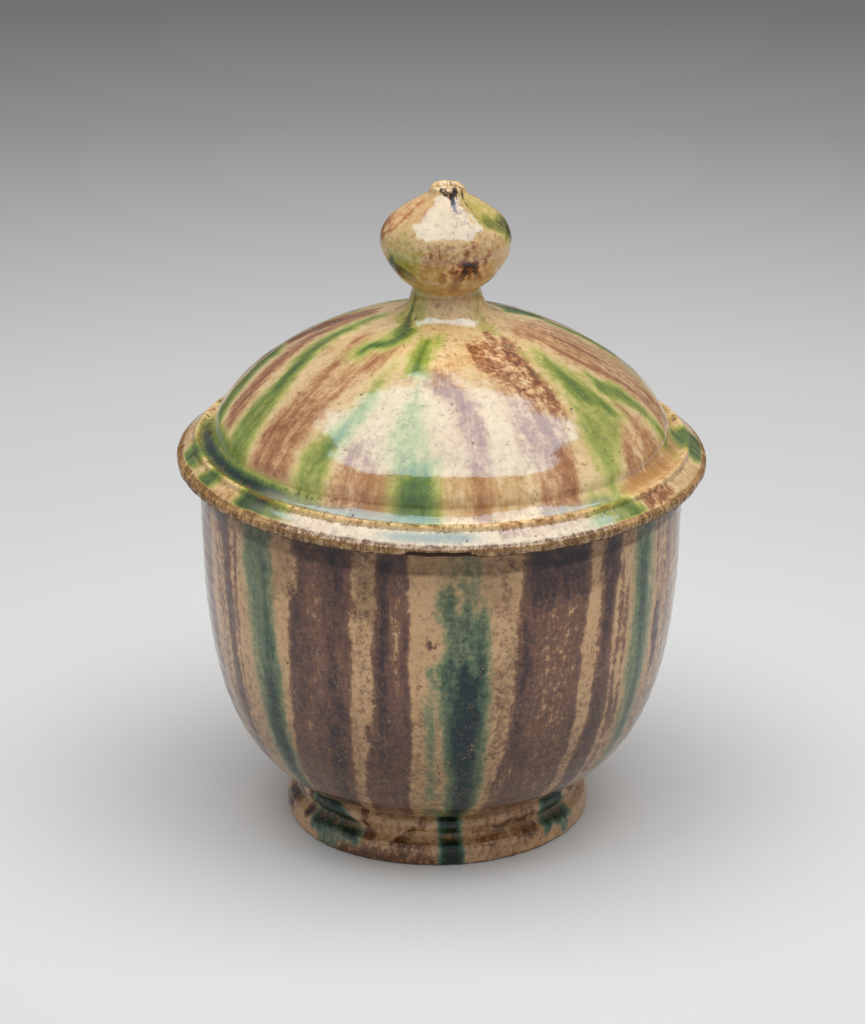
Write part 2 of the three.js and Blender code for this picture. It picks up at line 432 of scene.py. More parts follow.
def glaze(name, **changes):
    # cream slip under washes of brown and green, all under one clear glossy glaze
    look = {**glazeLook, **changes}
    m = Tree(bpy.data.materials.new(name))
    place = m.scaled(m.add("ShaderNodeTexCoord", {}, {}, "Object"), 1 / mm)
    flow = m.attribute("flow", "Vector")
    streak, fibre = (m.unrest(flow, *look[key]) for key in ("streak", "fibre"))
    cloud, wave, mottle, fleck, grain = (
        m.unrest(place, *look[key]) for key in ("cloud", "wave", "mottle", "fleck", "grain"))

    def laid(amount, key, below, blend="MIX"):
        # a flat colour laid over what is below it
        return m.mix(amount, below, colour(*look[key]), blend)

    def washed(below, key, strength):
        # one colour of wash over what is below it: stirred where it lies, and the deeper the darker
        amount = m.attribute(key)
        depth = amount + m.step(amount, 0.0, 0.5) * stir * strength
        starts, hides = look[key + "Cover"]
        return m.mix(m.step(depth, starts, hides), below, m.ramp(depth, look["deepest"], look[key + "s"]))

    def marked(at, key, feature="F1", unrest=None):
        # 1 on a small mark in the middle of each cell or along its edge
        scale, full, gone = look[key]
        away = m.cells(at, scale, feature)
        return 1 - m.step(away + unrest if unrest else away, full, gone)

    ground = m.mix(m.step(cloud * 0.4 + mottle * 0.35 + fleck * 0.2 + fibre * 0.15, -0.6, 1.0),
                   colour(*look["cream"]), colour(*look["buff"]))
    specks = m.attribute("speck") + fleck * 0.34 + grain * 0.20 + mottle * 0.16
    ground = laid(m.step(specks, 0.30, 1.05) * 0.85, "speck", ground)
    stir = (streak * look["streaks"] + fibre * look["fibres"] + mottle * look["mottling"]
            + fleck * look["flecks"] + grain * look["graining"]
            + m.attribute("curdle") * (mottle * 0.34 + fleck * 0.22))
    body = washed(ground, "brown", 1.0)
    body = washed(body, "green", look["greenStir"])
    # painted reflection: a pale grey layer where the softbox's reflection falls in the gutter and on the
    # brim's front
    veil = m.attribute("veil") + stir * 0.5 * m.step(m.attribute("veil"), 0.0, 0.5)
    body = laid(m.step(veil, 0.0, 1.0) * 0.9, "veil", body)
    amber = m.step(m.attribute("amber") + mottle * 0.15 + fibre * 0.1, 0.05, 0.95)
    body = laid(amber * 0.9, "amber", body)

    curl = m.noise(place, 1.4, 1.0) - 0.5
    worm = 1 - m.step(curl * curl, 0.0001, 0.0026)
    worm = worm * m.step(m.attribute("worn") + m.unrest(place, 0.30, 2.0) * 0.6, 0.30, 1.1)
    worm = worm * m.step(grain + mottle * 0.6, -0.4, 0.8)
    body = laid(worm * 0.55, "pale", body)
    # multiplied over the colour: stains, and painted shade under the bowl's brim, low on the bowl, half way
    # up the dome and on the knob's upper front
    body = laid(m.attribute("stain") * (mottle * 0.2 + 1.0), "stain", body, "MULTIPLY")
    # dirt, and painted shade on the cover's ridge and groove and inside the knob's broken tip
    dirt = m.step(m.attribute("dirt") + mottle * 0.16 + grain * 0.22 + fibre * 0.16, 0.30, 0.85)
    body = laid(dirt * 0.85, "dirt", body)
    # blue-black ink on the knob; on the cover the same wash is the painted shadow in the chipped slit
    ink = m.step(m.attribute("ink") + mottle * 0.16 + grain * 0.20, 0.30, 0.75)
    body = laid(ink, "ink", body)

    pit, pinhole = marked(place, "pit", unrest=grain * 0.010), marked(place, "pinhole")
    pepper = marked(place, "pepperDot") * m.step(m.unrest(place, 0.35, 2.0), -0.1, 0.9)
    bent = m.moved(place, m.scaled(m.noise(place, 0.9, 2.0, 0.5, 1), 1.6))
    scored = m.unrest(place, 0.45, 1.0) + m.attribute("scored") * 0.9
    crack = marked(bent, "crackLine", "DISTANCE_TO_EDGE") * m.step(scored, 0.70, 1.10) * look["scratches"]
    body = laid(pit * 0.9 + pinhole * 0.4 + pepper * look["pepper"], "dirt", body)
    body = laid(crack, "dirt", body)

    relief = (mottle * 0.15 + cloud * 0.3 + wave * 0.35 + fibre * 0.04 + worm * 0.3 - pit * 1.5
              - pinhole * 0.5 - pepper * 0.2 - crack * 0.5 + dirt * grain * 0.4)
    bump = m.add("ShaderNodeBump", {}, {
        "Strength": 0.6, "Distance": look["bumpDepth"] * mm, "Height": relief})
    rough = dirt * 0.35 + (pit + pinhole + crack) * 0.25 + mottle * 0.012 + look["roughness"]
    shiny = m.add("ShaderNodeBsdfPrincipled", {}, {
        "Base Color": body, "Roughness": rough, "Normal": bump, "IOR": look["glazeIndex"],
        "Specular IOR Level": look["gloss"], "Specular Tint": look["sheen"],
    })
    dull = m.add("ShaderNodeBsdfPrincipled", {}, {
        "Base Color": body, "Roughness": 0.7, "Normal": bump, "Specular IOR Level": 0.2})
    bare = m.step(dirt * 0.7 + ink + m.attribute("dull"), 0.0, 1.0)
    return m.finish(m.add("ShaderNodeMixShader", {}, {0: bare, 1: shiny, 2: dull}))


# How the thrown pot departs from a true turned shape, shared by every piece

pot = {
    "leanLevels": [0, 9, 35, 70, 78, 85, 101],
    "leanAcross": [-0.35, -0.25, 0.22, 0.40, 0.50, 0.62, 0.65],
    "coverTilt": 0.013,           # the cover's fall towards +X, per millimetre
    "fadeRadius": 20,             # all swelling fades out from here to the axis
    "oval": 0.15,
    "ovalPhase": 0.8,
    "throwingMarks": 0.04,
    "marksRate": 1.9,             # radians per millimetre of level
    "marksDrift": (0.6, 0.31),    # uneven spacing of the marks: radians, and radians per millimetre
    "waves": (0.05, 3, 6, 3, 7, 0.05),
    "lumps": (0.035, 41, 16, 10, 34, 0.5),
}


def potShape(azimuth, radius, level):
    # radius + oval + waves + throwing marks + lumps, all faded out towards the axis
    lean = np.interp(level, pot["leanLevels"], pot["leanAcross"])
    tilt = pot["coverTilt"] * smoothStep(level / lipLevel)
    drift, driftRate = pot["marksDrift"]
    swell = pot["oval"] * np.cos(2 * azimuth + pot["ovalPhase"]) + ripple(azimuth, level, *pot["waves"])
    marks = np.sin(level * pot["marksRate"] + azimuth + drift * np.sin(level * driftRate))
    swell = swell + pot["throwingMarks"] * marks
    swell = swell + ripple(azimuth, level + radius, *pot["lumps"])
    r = radius + swell * smoothStep(radius / pot["fadeRadius"])
    z = level - tilt * r * np.sin(azimuth)
    return r, z, lean


# Bowl

bowl = {
    "wall": 3.4,
    "footInset": 2.1,             # of the wall's lower end from the foot ring's outside
    "bellyHandles": [(44.95, 17.0), (45.43, 42.06)],
    "lipRounding": 0.7,
    "floorThickness": 3.0,
    "floorRounding": 4.8,
    "bossRadius": 22.9,
    "bossRounding": 0.6,
    "columns": 560,
    "glazeSwell": 0.12,
    "brownSwell": 0.4,            # of the brown's swelling to the green's
    "habit": {"ringSize": 45.8, "wander": 1.0, "fray": 0.30, "drip": 1.6, "soften": 1.6},
    "flowStretch": 5,
    # above its level the wall under the brim is darkened, partly stain and partly painted shadow of the brim,
    # most of all along the shadow's edge
    "brimShadowAndStain": {"level": 66.4, "ripple": (0.35, 51, 8, 2, 30, 0), "strength": 0.72, "edge": 0.3},
    # the lower wall darker towards the bottom: partly stain, partly painted shade where less light comes up
    # from the floor
    "lowStainAndShade": {"top": 48, "reach": 26, "strength": 0.55},
    "lipDirt": {"strength": 0.30, "level": 70.0},
    "stain": [
        (0.55, 0.5, [(69, -20.5, -14), (57, -20.5, -14)]), (0.4, 0.5, [(69, -43, -36), (58, -43, -36)]),
        (0.35, 0.6, [(69, 36, 41), (60, 36, 41)]), (0.25, 1.0, [(69, -1, 17), (60, 0, 17)]),
        (0.3, 1.0, [(48, 10, 18), (20, 8, 18)]),
    ],
    "brown": [
        (0.4, 1.6, [(66, -68, -59), (14, -68, -58)]), (0.42, 1.6, [(70, 61, 84), (14, 60, 84)]),
        (0.75, 1.2, [(70, -80, -70.5), (45, -79, -70), (15, -78, -68)]),
        (0.9, 0.6, [(72, -69, -58), (67, -66, -58.5), (62, -62, -58.5), (45, -61.8, -58.2),
            (30, -61.5, -57.5), (12, -63, -57.5)]),
        (0.6, 0.4, [(66, -57.3, -56), (45, -57, -55.6), (20, -57.5, -55.5)]),
        (0.95, 0.6, [(73, -36.8, -19.5), (66, -36, -20), (60, -35.5, -20.5), (57, -37.5, -21),
            (50, -38, -21), (40, -38.2, -21.3), (30, -40, -22), (20, -41.5, -23.5), (9, -41, -25)]),
        (1.18, 1.3, [(73, -36, -33), (66, -36, -33), (60, -35.5, -33)]),
        (1.2, 1.6, [(73, -28, -20.5), (66, -27.5, -20.5), (61, -27, -21)]),
        (1.15, 1.2, [(58, -37, -33.5), (50, -37.5, -34)]),
        (1.15, 1.4, [(46, -28, -21.5), (36, -29, -22), (24, -31, -23.5), (14, -33, -25)]),
        (1.12, 1.0, [(40, -37.6, -34.5), (28, -39, -36)]),
        (0.95, 0.5, [(73, -14.8, -8), (60, -14.8, -7.6), (50, -15.8, -7.2), (40, -16, -7), (30, -18, -7),
            (20, -20.5, -7.5), (9, -21, -8)]),
        (1.22, 0.9, [(73, -14.5, -11), (58, -14.5, -11.5), (45, -15.5, -12), (30, -16.5, -12.5),
            (20, -16, -12)]),
        (1.1, 0.7, [(73, -9.3, -8.2), (52, -9, -7.8), (40, -9, -7.4)]),
        (0.95, 0.6, [(73, 19, 36.5), (60, 18.5, 37), (50, 18, 35.5), (40, 17, 35), (30, 16.5, 35),
            (20, 14, 34), (9, 12, 33)]),
        (1.25, 1.2, [(73, 19.5, 36), (60, 19.5, 36.5), (57, 20, 24)]),
        (1.15, 0.8, [(58, 18.5, 21.5), (30, 17.5, 21)]), (1.15, 0.9, [(52, 32, 35), (43, 31.5, 34.6)]),
        (1.1, 1.6, [(34, 17, 23), (24, 17, 26), (12, 14, 28)]),
        (1.0, 0.6, [(73, 41, 46.5), (62, 40.5, 46.5), (57, 40.8, 45), (50, 40, 44.8), (40, 40, 44.5),
            (30, 38.5, 45), (20, 37.5, 44.5), (10, 37, 44)]),
        (1.2, 0.7, [(73, 41, 46), (56, 41, 44.5), (44, 40.5, 43.5)]),
        (0.65, 0.4, [(66, 46.5, 48.2), (50, 46, 47.5), (40, 45.5, 47), (30, 46.5, 48.5), (18, 46, 49)]),
        (0.55, 0.4, [(58, 48.8, 49.9), (40, 48, 49.4), (28, 48, 50)]),
        (0.7, 0.4, [(70, 61, 62.8), (55, 61.5, 63.5), (50, 62, 64)]),
        (1.2, 0.6, [(50.5, 62, 65), (47.5, 62, 65)]), (1.2, 0.6, [(46, 62, 66), (42.5, 62, 66)]),
        (1.1, 0.6, [(41, 63, 66), (38, 63, 65.5)]), (1.4, 0.5, [(43.5, -28, -24.5), (40.8, -28, -24.5)]),
        (0.95, 0.5, [(53.4, -3.4, -0.2), (51.6, -3.4, -0.2)]),
        (1.0, 0.5, [(33.6, -18.6, -16.4), (32.2, -18.6, -16.4)]), (0.5, 1.2, [(34, 63, 69), (28, 63, 70)]),
        (0.6, 0.8, [(69, 68, 70.5), (40, 69, 72), (18, 68, 71)]),
        (0.6, 0.8, [(69, 73, 77), (40, 74, 77), (18, 72, 75)]),
        (1.0, 0.9, [(72, 84, 97), (50, 83, 98), (30, 82, 97), (12, 84, 96)]),
        (1.2, 1.4, [(72, 85, 91), (50, 84, 90), (34, 84, 89)]),
        (0.9, 0.7, [(72, 101, 105), (40, 101, 106), (14, 103, 107)]),
        (1.0, 0.9, [(72, 122, 141), (55, 121, 140), (30, 119, 140), (12, 122, 138)]),
        (1.2, 1.4, [(72, 134, 140), (50, 133, 139), (22, 132, 138)]),
        (0.8, 0.7, [(72, 146, 150), (45, 145, 149), (15, 146, 151)]),
        (1.0, 0.9, [(72, 166, 183), (50, 165, 184), (25, 163, 184), (12, 166, 182)]),
        (1.2, 1.4, [(72, 167, 174), (40, 166, 172), (16, 167, 172)]),
        (0.9, 0.8, [(72, 197, 204), (45, 196, 205), (14, 195, 204)]),
        (1.0, 0.9, [(72, 209, 221), (50, 208, 222), (28, 208, 224), (12, 210, 222)]),
        (0.8, 0.6, [(70, 239, 242), (40, 238, 242), (14, 238, 241)]),
        (1.0, 0.9, [(72, 246, 260), (50, 245, 261), (25, 244, 262), (12, 246, 260)]),
        (1.2, 1.4, [(72, 253, 259), (44, 252, 260), (20, 253, 259)]),
        (0.8, 0.7, [(72, 266, 271), (40, 266, 270), (14, 266, 272)]),
    ],
    "bare": [
        (0.32, 1.0, [(64, -31.5, -29), (57, -31.5, -28.5), (52, -30, -28.5)]),
        (0.4, 0.8, [(46, -31, -28.5), (40, -31, -29)]), (0.36, 0.8, [(47, -25, -23), (42, -25, -23)]),
        (0.22, 2.5, [(30, -40, -31), (22, -41, -30), (13, -41, -28)]),
        (0.45, 0.5, [(62, -11, -9.6), (55, -11.3, -9.8), (48, -11, -9.7), (42, -10.5, -9.6)]),
        (0.2, 2.0, [(24, -20, -10), (13, -20, -9)]),
        (0.3, 2.0, [(57, 22, 34), (50, 23, 35), (46, 23, 33), (38, 22, 32)]),
        (0.24, 2.0, [(36, 22, 34), (26, 20, 33)]), (0.3, 2.0, [(22, 14, 32), (12, 13, 32)]),
        (0.4, 1.6, [(58, 125, 132), (44, 124, 131)]), (0.4, 1.6, [(36, 174, 181), (20, 173, 180)]),
        (0.35, 1.8, [(50, 246, 252), (28, 246, 253)]), (0.35, 1.8, [(44, 211, 218), (24, 212, 219)]),
    ],
    "green": [
        (0.7, 1.8, [(73, -52, -42.5), (60, -52.5, -43.5), (50, -51, -42), (40, -50, -41.5), (30, -50, -41.5),
            (12, -50, -42)]),
        (0.95, 1.4, [(62, -48, -43), (52, -47, -42.5), (40, -47.5, -41.6), (18, -49, -42)]),
        (1.15, 1.6, [(40, -48, -41.6), (24, -49, -42), (12, -49, -42)]),
        (0.4, 2.2, [(70, 0, 10), (60, 0, 11), (54, 0, 11)]),
        (0.78, 1.5, [(58, -1, 11), (52, 1, 11), (47, -2.5, 11), (40, -1.5, 11.4), (33, 0.5, 11.4),
            (25, 1.5, 11.2), (18, 0, 11), (9, 1, 10)]),
        (0.84, 1.4, [(61, -0.5, 4.5), (57, -0.5, 3.5), (51, 1, 4)]),
        (0.92, 1.2, [(57, 8, 11.4), (46, 6.5, 11.4)]),
        (0.94, 1.4, [(47.5, -1.5, 11), (44, -1.5, 11), (38, 0, 11), (24, 1.6, 10.6), (9, 1.6, 9.5)]),
        (1.32, 1.6, [(46, 3, 10.5), (38, 1, 11), (30, 1.4, 10.6), (22, 2.4, 10.4), (9, 2.6, 9)]),
        (0.62, 1.1, [(40, -3.5, -1), (30, -3.5, -1), (19, -4, -0.5)]), (0.6, 1.2, [(14, -4, 3), (9, -6, 8)]),
        (0.72, 1.8, [(68, 51.5, 60), (50, 51.5, 60), (40, 51.5, 59), (30, 52, 59.5), (14, 52, 56)]),
        (0.98, 1.3, [(65, 53, 58), (60, 52, 58), (44, 54, 58.6), (24, 53.6, 58.5)]),
        (0.8, 1.6, [(72, 109, 118), (50, 109, 117), (30, 110, 116), (13, 110, 115)]),
        (1.1, 1.4, [(52, 111, 116), (34, 111, 115.5), (14, 111, 115)]),
        (0.8, 1.5, [(70, 153, 162), (45, 152, 161), (12, 153, 159)]),
        (1.0, 1.4, [(44, 154, 160), (20, 154, 158)]),
        (0.75, 1.6, [(72, 187, 194), (40, 188, 194), (16, 187, 192)]),
        (0.8, 1.5, [(72, 226, 236), (50, 225, 236), (25, 226, 235), (11, 227, 233)]),
        (1.1, 1.5, [(56, 227, 234), (40, 226, 234), (14, 228, 233)]),
        (0.7, 1.4, [(72, 275, 281), (40, 274, 280), (20, 275, 279)]),
    ],
    "speck": [
        (0.55, 1.5, [(57, 11, 18.5), (48, 11, 18), (38, 11, 17.5)]),
        (0.68, 1.5, [(42, 11, 17.5), (30, 11, 17), (12, 10, 14)]),
        (0.45, 1.5, [(45, -7, 0), (36, -7, 0.5), (26, -7, 1)]), (0.58, 1.5, [(37, -6.5, 1), (22, -7, 1.5)]),
        (0.6, 1.2, [(73, -20.5, -15), (44, -20.5, -16), (30, -22, -18), (12, -25, -20)]),
        (0.45, 1.0, [(60, -40, -36), (54, -41, -38)]), (0.5, 1.5, [(72, 11, 18), (50, 11, 17.5)]),
        (0.45, 1.2, [(50, 36, 40), (30, 35, 39), (15, 34, 38)]),
        (0.4, 1.5, [(66, -57, -53), (20, -57, -50)]), (0.4, 2.5, [(34, 62, 120), (14, 62, 120)]),
        (0.45, 2.5, [(44, 140, 200), (14, 140, 200)]), (0.45, 2.5, [(40, 222, 290), (14, 222, 290)]),
    ],
    "curdle": [
        (0.3, 2.0, [(62, -3, 12), (44, -4, 12)]), (0.15, 2.0, [(58, 19, 36), (38, 18, 35)]),
    ],
}


def makeBowl():
    outside = bezier((footRadius - bowl["footInset"], seatLevel), *bowl["bellyHandles"],
                     (bowlRadius, lipLevel - bowl["lipRounding"]), 104)
    inner = insideOf(outside, bowl["wall"])[::-1]
    floorLevel = seatLevel + bowl["floorThickness"]
    inner = inner[inner[:, 1] > floorLevel + bowl["floorRounding"]]
    wallEnd, above = inner[-1], inner[-2]
    lean = (above[0] - wallEnd[0]) / (above[1] - wallEnd[1])
    corner = (wallEnd[0] - lean * (wallEnd[1] - floorLevel), floorLevel)
    cornerEnd = (corner[0] - bowl["floorRounding"], floorLevel)
    mouth = bowlRadius - bowl["wall"]
    rounding = bowl["lipRounding"]
    boss, bossRounding = bowl["bossRadius"], bowl["bossRounding"]
    underside = joined(
        line((0, bossLevel), (boss - bossRounding, bossLevel), 6),
        arc((boss - bossRounding, bossLevel + bossRounding), bossRounding, -90, 0, 4),
        line((boss, bossLevel + bossRounding), (boss, seatLevel), 2),
        line((boss, seatLevel), outside[0], 3),
    )
    profile = joined(
        underside,
        outside,
        arc((bowlRadius - rounding, lipLevel - rounding), rounding, 0, 90, 6),
        arc((mouth + rounding, lipLevel - rounding), rounding, 90, 180, 5),
        inner[2::3],
        bezier(wallEnd, corner, corner, cornerEnd, 7),
        line(cornerEnd, (0, floorLevel), 9),
    )
    isOutside = np.zeros((len(profile), 1))
    isOutside[len(underside) - 1:len(underside) + len(outside) + 2] = 1

    def paint(azimuth, radius, level):
        washes = washesOf(bowl, azimuth, level, radius, isOutside)
        brimShadowAndStain, lowStainAndShade, lipDirt = bowl["brimShadowAndStain"], bowl["lowStainAndShade"], bowl["lipDirt"]
        # painted shadow of the brim across the wall's top, partly stain, darkest along its edge
        edge = brimShadowAndStain["level"] + ripple(azimuth, 0, *brimShadowAndStain["ripple"])
        high = brimShadowAndStain["strength"] * smoothStep((level - edge + 0.2) / 0.4)
        high = high + brimShadowAndStain["edge"] * bell(level, edge, 0.25)
        # darker towards the bottom, partly stain and partly painted shade
        low = smoothStep((lowStainAndShade["top"] - level) / lowStainAndShade["reach"]) * isOutside
        dulled = np.maximum(np.maximum(washes["stain"], high), lowStainAndShade["strength"] * low)
        washes["stain"] = isOutside * dulled
        washes["dirt"] = lipDirt["strength"] * smoothStep((level - lipDirt["level"]) / 1.2) * isOutside
        washes["speck"] = np.maximum(washes["speck"], 0.22 + 0.32 * low)
        washes["worn"] = 0.15 * isOutside + 0.60 * low
        washes["flow"] = flowOf(azimuth, level, bowlRadius, bowl["flowStretch"])
        return washes

    def shape(azimuth, radius, level):
        r, z, lean = potShape(azimuth, radius, level)
        washes = paint(azimuth, radius, level)
        return r + bowl["glazeSwell"] * (washes["green"] + bowl["brownSwell"] * washes["brown"]), z, lean

    return turnedMesh("bowlShell", profile, bowl["columns"], shape, paint)


bowlShell = makeBowl()
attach(bowlShell, "bowl")
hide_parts("bowl_body")
bowlShell.data.materials.append(glaze(
    "streakedBodyGlaze",
    # its stain colour also darkens the wall as painted shade
    cream=(218, 178, 132), buff=(200, 158, 114), stain=(150, 138, 112),
    browns=[(0.10, 172, 128, 94), (0.50, 144, 104, 78), (0.90, 114, 80, 64), (1.30, 70, 49, 45)],
    greens=[(0.10, 184, 168, 120), (0.45, 146, 148, 108), (0.75, 102, 117, 86),
            (1.02, 61, 82, 64), (1.32, 28, 43, 42)],
    speck=(132, 98, 74), pale=(216, 180, 134), roughness=0.12, gloss=0.5, glazeIndex=1.5,
    sheen=(0.7, 0.85, 1.0, 1.0), brownCover=(0.12, 0.60), greenCover=(0.08, 0.56),
    streaks=0.12, fibres=0.13, mottling=0.16, flecks=0.14, graining=0.10, greenStir=0.60,
    scratches=0.25, pepper=0.6,
))
print("bowl made")


# Foot ring

foot = {
    "standingWidth": 3.3,
    "edgeRounding": 0.6,
    "mouldings": [                # band, cove and bead, each curve from the end of the one before
        ((29.35, 2.0), (29.2, 3.4), (28.6, 3.95), 14),
        ((27.9, 4.4), (27.15, 4.9), (27.15, 5.7), 12),
        ((27.15, 6.5), (27.85, 6.7), (27.9, 7.5), 12),
        ((27.95, 8.5), (27.3, 8.9), (27.0, seatLevel + 0.1), 10),
    ],
    "recessRadius": 22.0,
    "recess": [((23.7, bossLevel - 0.1), (24.4, 4.6), (25.0, 2.4), 10)],
    "columns": 480,
    "glazeThickness": 0.15,
    "wear": (0.08, 8, 12, 6, 40, 0.6),
    "edgeWear": (0.07, 9, 10, 5, 60, 0),
    "swelling": {"size": 0.35, "middle": -45, "width": 14},
    "cove": {"level": 5.2, "spread": 0.8, "dirt": 0.20, "ripple": (0.14, 21, 6, 5, 24, 0.5), "amber": 0.35},
    "edgeDirt": 0.7,
    "allOverStain": 0.15,
    "flowStretch": 2.5,
    "habit": {"ringSize": 29.2, "wander": 0.8, "fray": 0.30, "drip": 0.6, "soften": 1.3},
    "green": [
        (1.15, 1.0, [(10, 0.5, 9), (5, 1, 9.5), (0, 1, 9)]),
        (1.1, 1.3, [(10, -56, -44), (7, -57, -36), (4.6, -56, -31)]),
        (0.5, 1.5, [(4.5, -54, -36), (0.8, -50, -40)]),
        (1.05, 1.2, [(10, 46, 56), (6, 46, 62), (4.6, 46, 62)]), (0.55, 1.4, [(5, 53, 62), (2.0, 54, 60)]),
        (0.9, 1.3, [(10, 110, 116), (4, 109, 119), (1, 110, 117)]),
        (0.8, 1.3, [(10, 153, 160), (5, 150, 163)]),
        (1.0, 1.2, [(10, 226, 234), (4, 224, 236), (0, 226, 233)]),
    ],
    "brown": [
        (1.0, 0.8, [(6.8, -12, -8), (5.5, -14, -9), (4.2, -18, -11)]),
        (0.8, 0.8, [(9.8, -8.5, -4.5), (7, -8, -5)]), (0.4, 1.2, [(6.6, 14, 44), (4.6, 14, 44)]),
        (0.85, 0.7, [(6.4, 22, 30), (4.8, 22, 28)]), (0.7, 0.7, [(6.0, 33, 38), (4.8, 34, 43)]),
        (0.7, 1.2, [(9.5, -84, -66), (4.5, -84, -68)]), (1.05, 1.0, [(6, -84, -73), (3, -84, -72)]),
        (0.85, 0.8, [(6.2, -31, -28), (4.8, -31, -24)]), (1.1, 1.0, [(9, -60, -52), (5, -62, -54)]),
        (0.7, 0.7, [(9.4, -31, -28), (8.6, -31, -28)]), (0.7, 1.4, [(1.3, -44, 0), (0.2, -44, 0)]),
        (0.45, 1.2, [(3.8, -18, 0), (0.5, -20, 0)]), (0.25, 1.4, [(1.6, 14, 48), (0.2, 14, 48)]),
        (0.7, 1.2, [(9.5, 62, 84), (7, 64, 80)]), (0.7, 1.2, [(9.5, 120, 142), (5, 124, 138)]),
        (0.7, 1.2, [(9, 168, 190), (5, 170, 185)]), (0.7, 1.2, [(9, 200, 216), (4, 204, 214)]),
    ],
    "speck": [
        (0.42, 1.5, [(9.8, -30, 0), (0.5, -30, 0)]), (0.42, 1.5, [(9.8, 9, 46), (0.5, 9, 46)]),
        (0.35, 1.5, [(9.8, 60, 300), (0.5, 60, 300)]),
    ],
}


def makeFoot():
    standingIn = footRadius - foot["standingWidth"]
    rounding = foot["edgeRounding"]
    outside = joined(
        arc((footRadius - rounding, rounding), rounding, -90, 0, 6),
        curves((footRadius, rounding), foot["mouldings"]),
    )
    seatIn = (bowl["bossRadius"], seatLevel)
    recessTop = (foot["recessRadius"], bossLevel - 0.05)
    recess = curves(recessTop, foot["recess"])
    profile = joined(
        line((standingIn, 0), (footRadius - rounding, 0), 5),
        outside,
        line(outside[-1], seatIn, 5),
        line(seatIn, recessTop, 4),
        recess,
        line(recess[-1], (standingIn - 0.2, 0.3), 4),
    )
    length = runLength(profile, (footRadius - rounding, 0))[:, None]
    isOutside = ((length >= 0) & (length <= runLength(outside, outside[0])[-1] + 0.01)) * 1.0

    def paint(azimuth, radius, level):
        washes = washesOf(foot, azimuth, level, radius, isOutside)
        cove = foot["cove"]
        inCove = bell(level, cove["level"], cove["spread"]) * isOutside
        lowEdge = foot["edgeDirt"] * np.clip(1.15 - level / 0.9, 0, 1)
        settled = (cove["dirt"] + ripple(azimuth, level, *cove["ripple"])) * inCove
        washes["dirt"] = np.maximum(lowEdge, settled)
        washes["amber"] = cove["amber"] * inCove
        washes["stain"] = foot["allOverStain"]
        washes["speck"] = np.maximum(washes["speck"], 0.25)
        washes["worn"] = 0.3 * isOutside
        washes["flow"] = flowOf(azimuth, length, footRadius, foot["flowStretch"])
        return washes

    def shape(azimuth, radius, level):
        r, z, lean = potShape(azimuth, radius, level)
        swelling = foot["swelling"]
        wear = ripple(azimuth, level, *foot["wear"]) * smoothStep(level / 1.5)
        wear = wear + ripple(azimuth, 0, *foot["edgeWear"]) * bell(level, 0, 0.8)
        beside = bell(degreesFrom(swelling["middle"], azimuth), 0, swelling["width"])
        swell = swelling["size"] * beside * bell(level, 0, 1.5)
        outer = smoothStep((radius - standingIn) / 2)
        return r + (foot["glazeThickness"] + wear + swell) * outer, np.maximum(z, 0), lean

    return turnedMesh("footRing", profile, foot["columns"], shape, paint, closed=True)


footRing = makeFoot()
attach(footRing, "bowl")
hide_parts("foot_ring")
footRing.data.materials.append(glaze(
    "footGlaze",
    cream=(204, 164, 122), buff=(182, 140, 100), pale=(214, 178, 134),
    browns=[(0.10, 166, 118, 80), (0.50, 128, 86, 54), (0.90, 88, 58, 38), (1.20, 50, 32, 24)],
    greens=[(0.10, 150, 148, 112), (0.45, 104, 120, 98), (0.75, 58, 86, 66),
            (1.00, 22, 48, 28), (1.25, 8, 24, 10)],
    brownCover=(0.10, 0.60), greenCover=(0.05, 0.50), sheen=(0.8, 0.9, 1.0, 1.0),
    gloss=0.5, glazeIndex=1.55, roughness=0.10,
    speck=(116, 84, 56), streaks=0.08, fibres=0.08, mottling=0.20, flecks=0.16, graining=0.14,
    scratches=0.5,
))
print("foot ring made")


# Cover: level on it is the distance along its outer profile from the foot of the dome,
# positive up the dome and negative down over the gutter, the ridge and the brim.

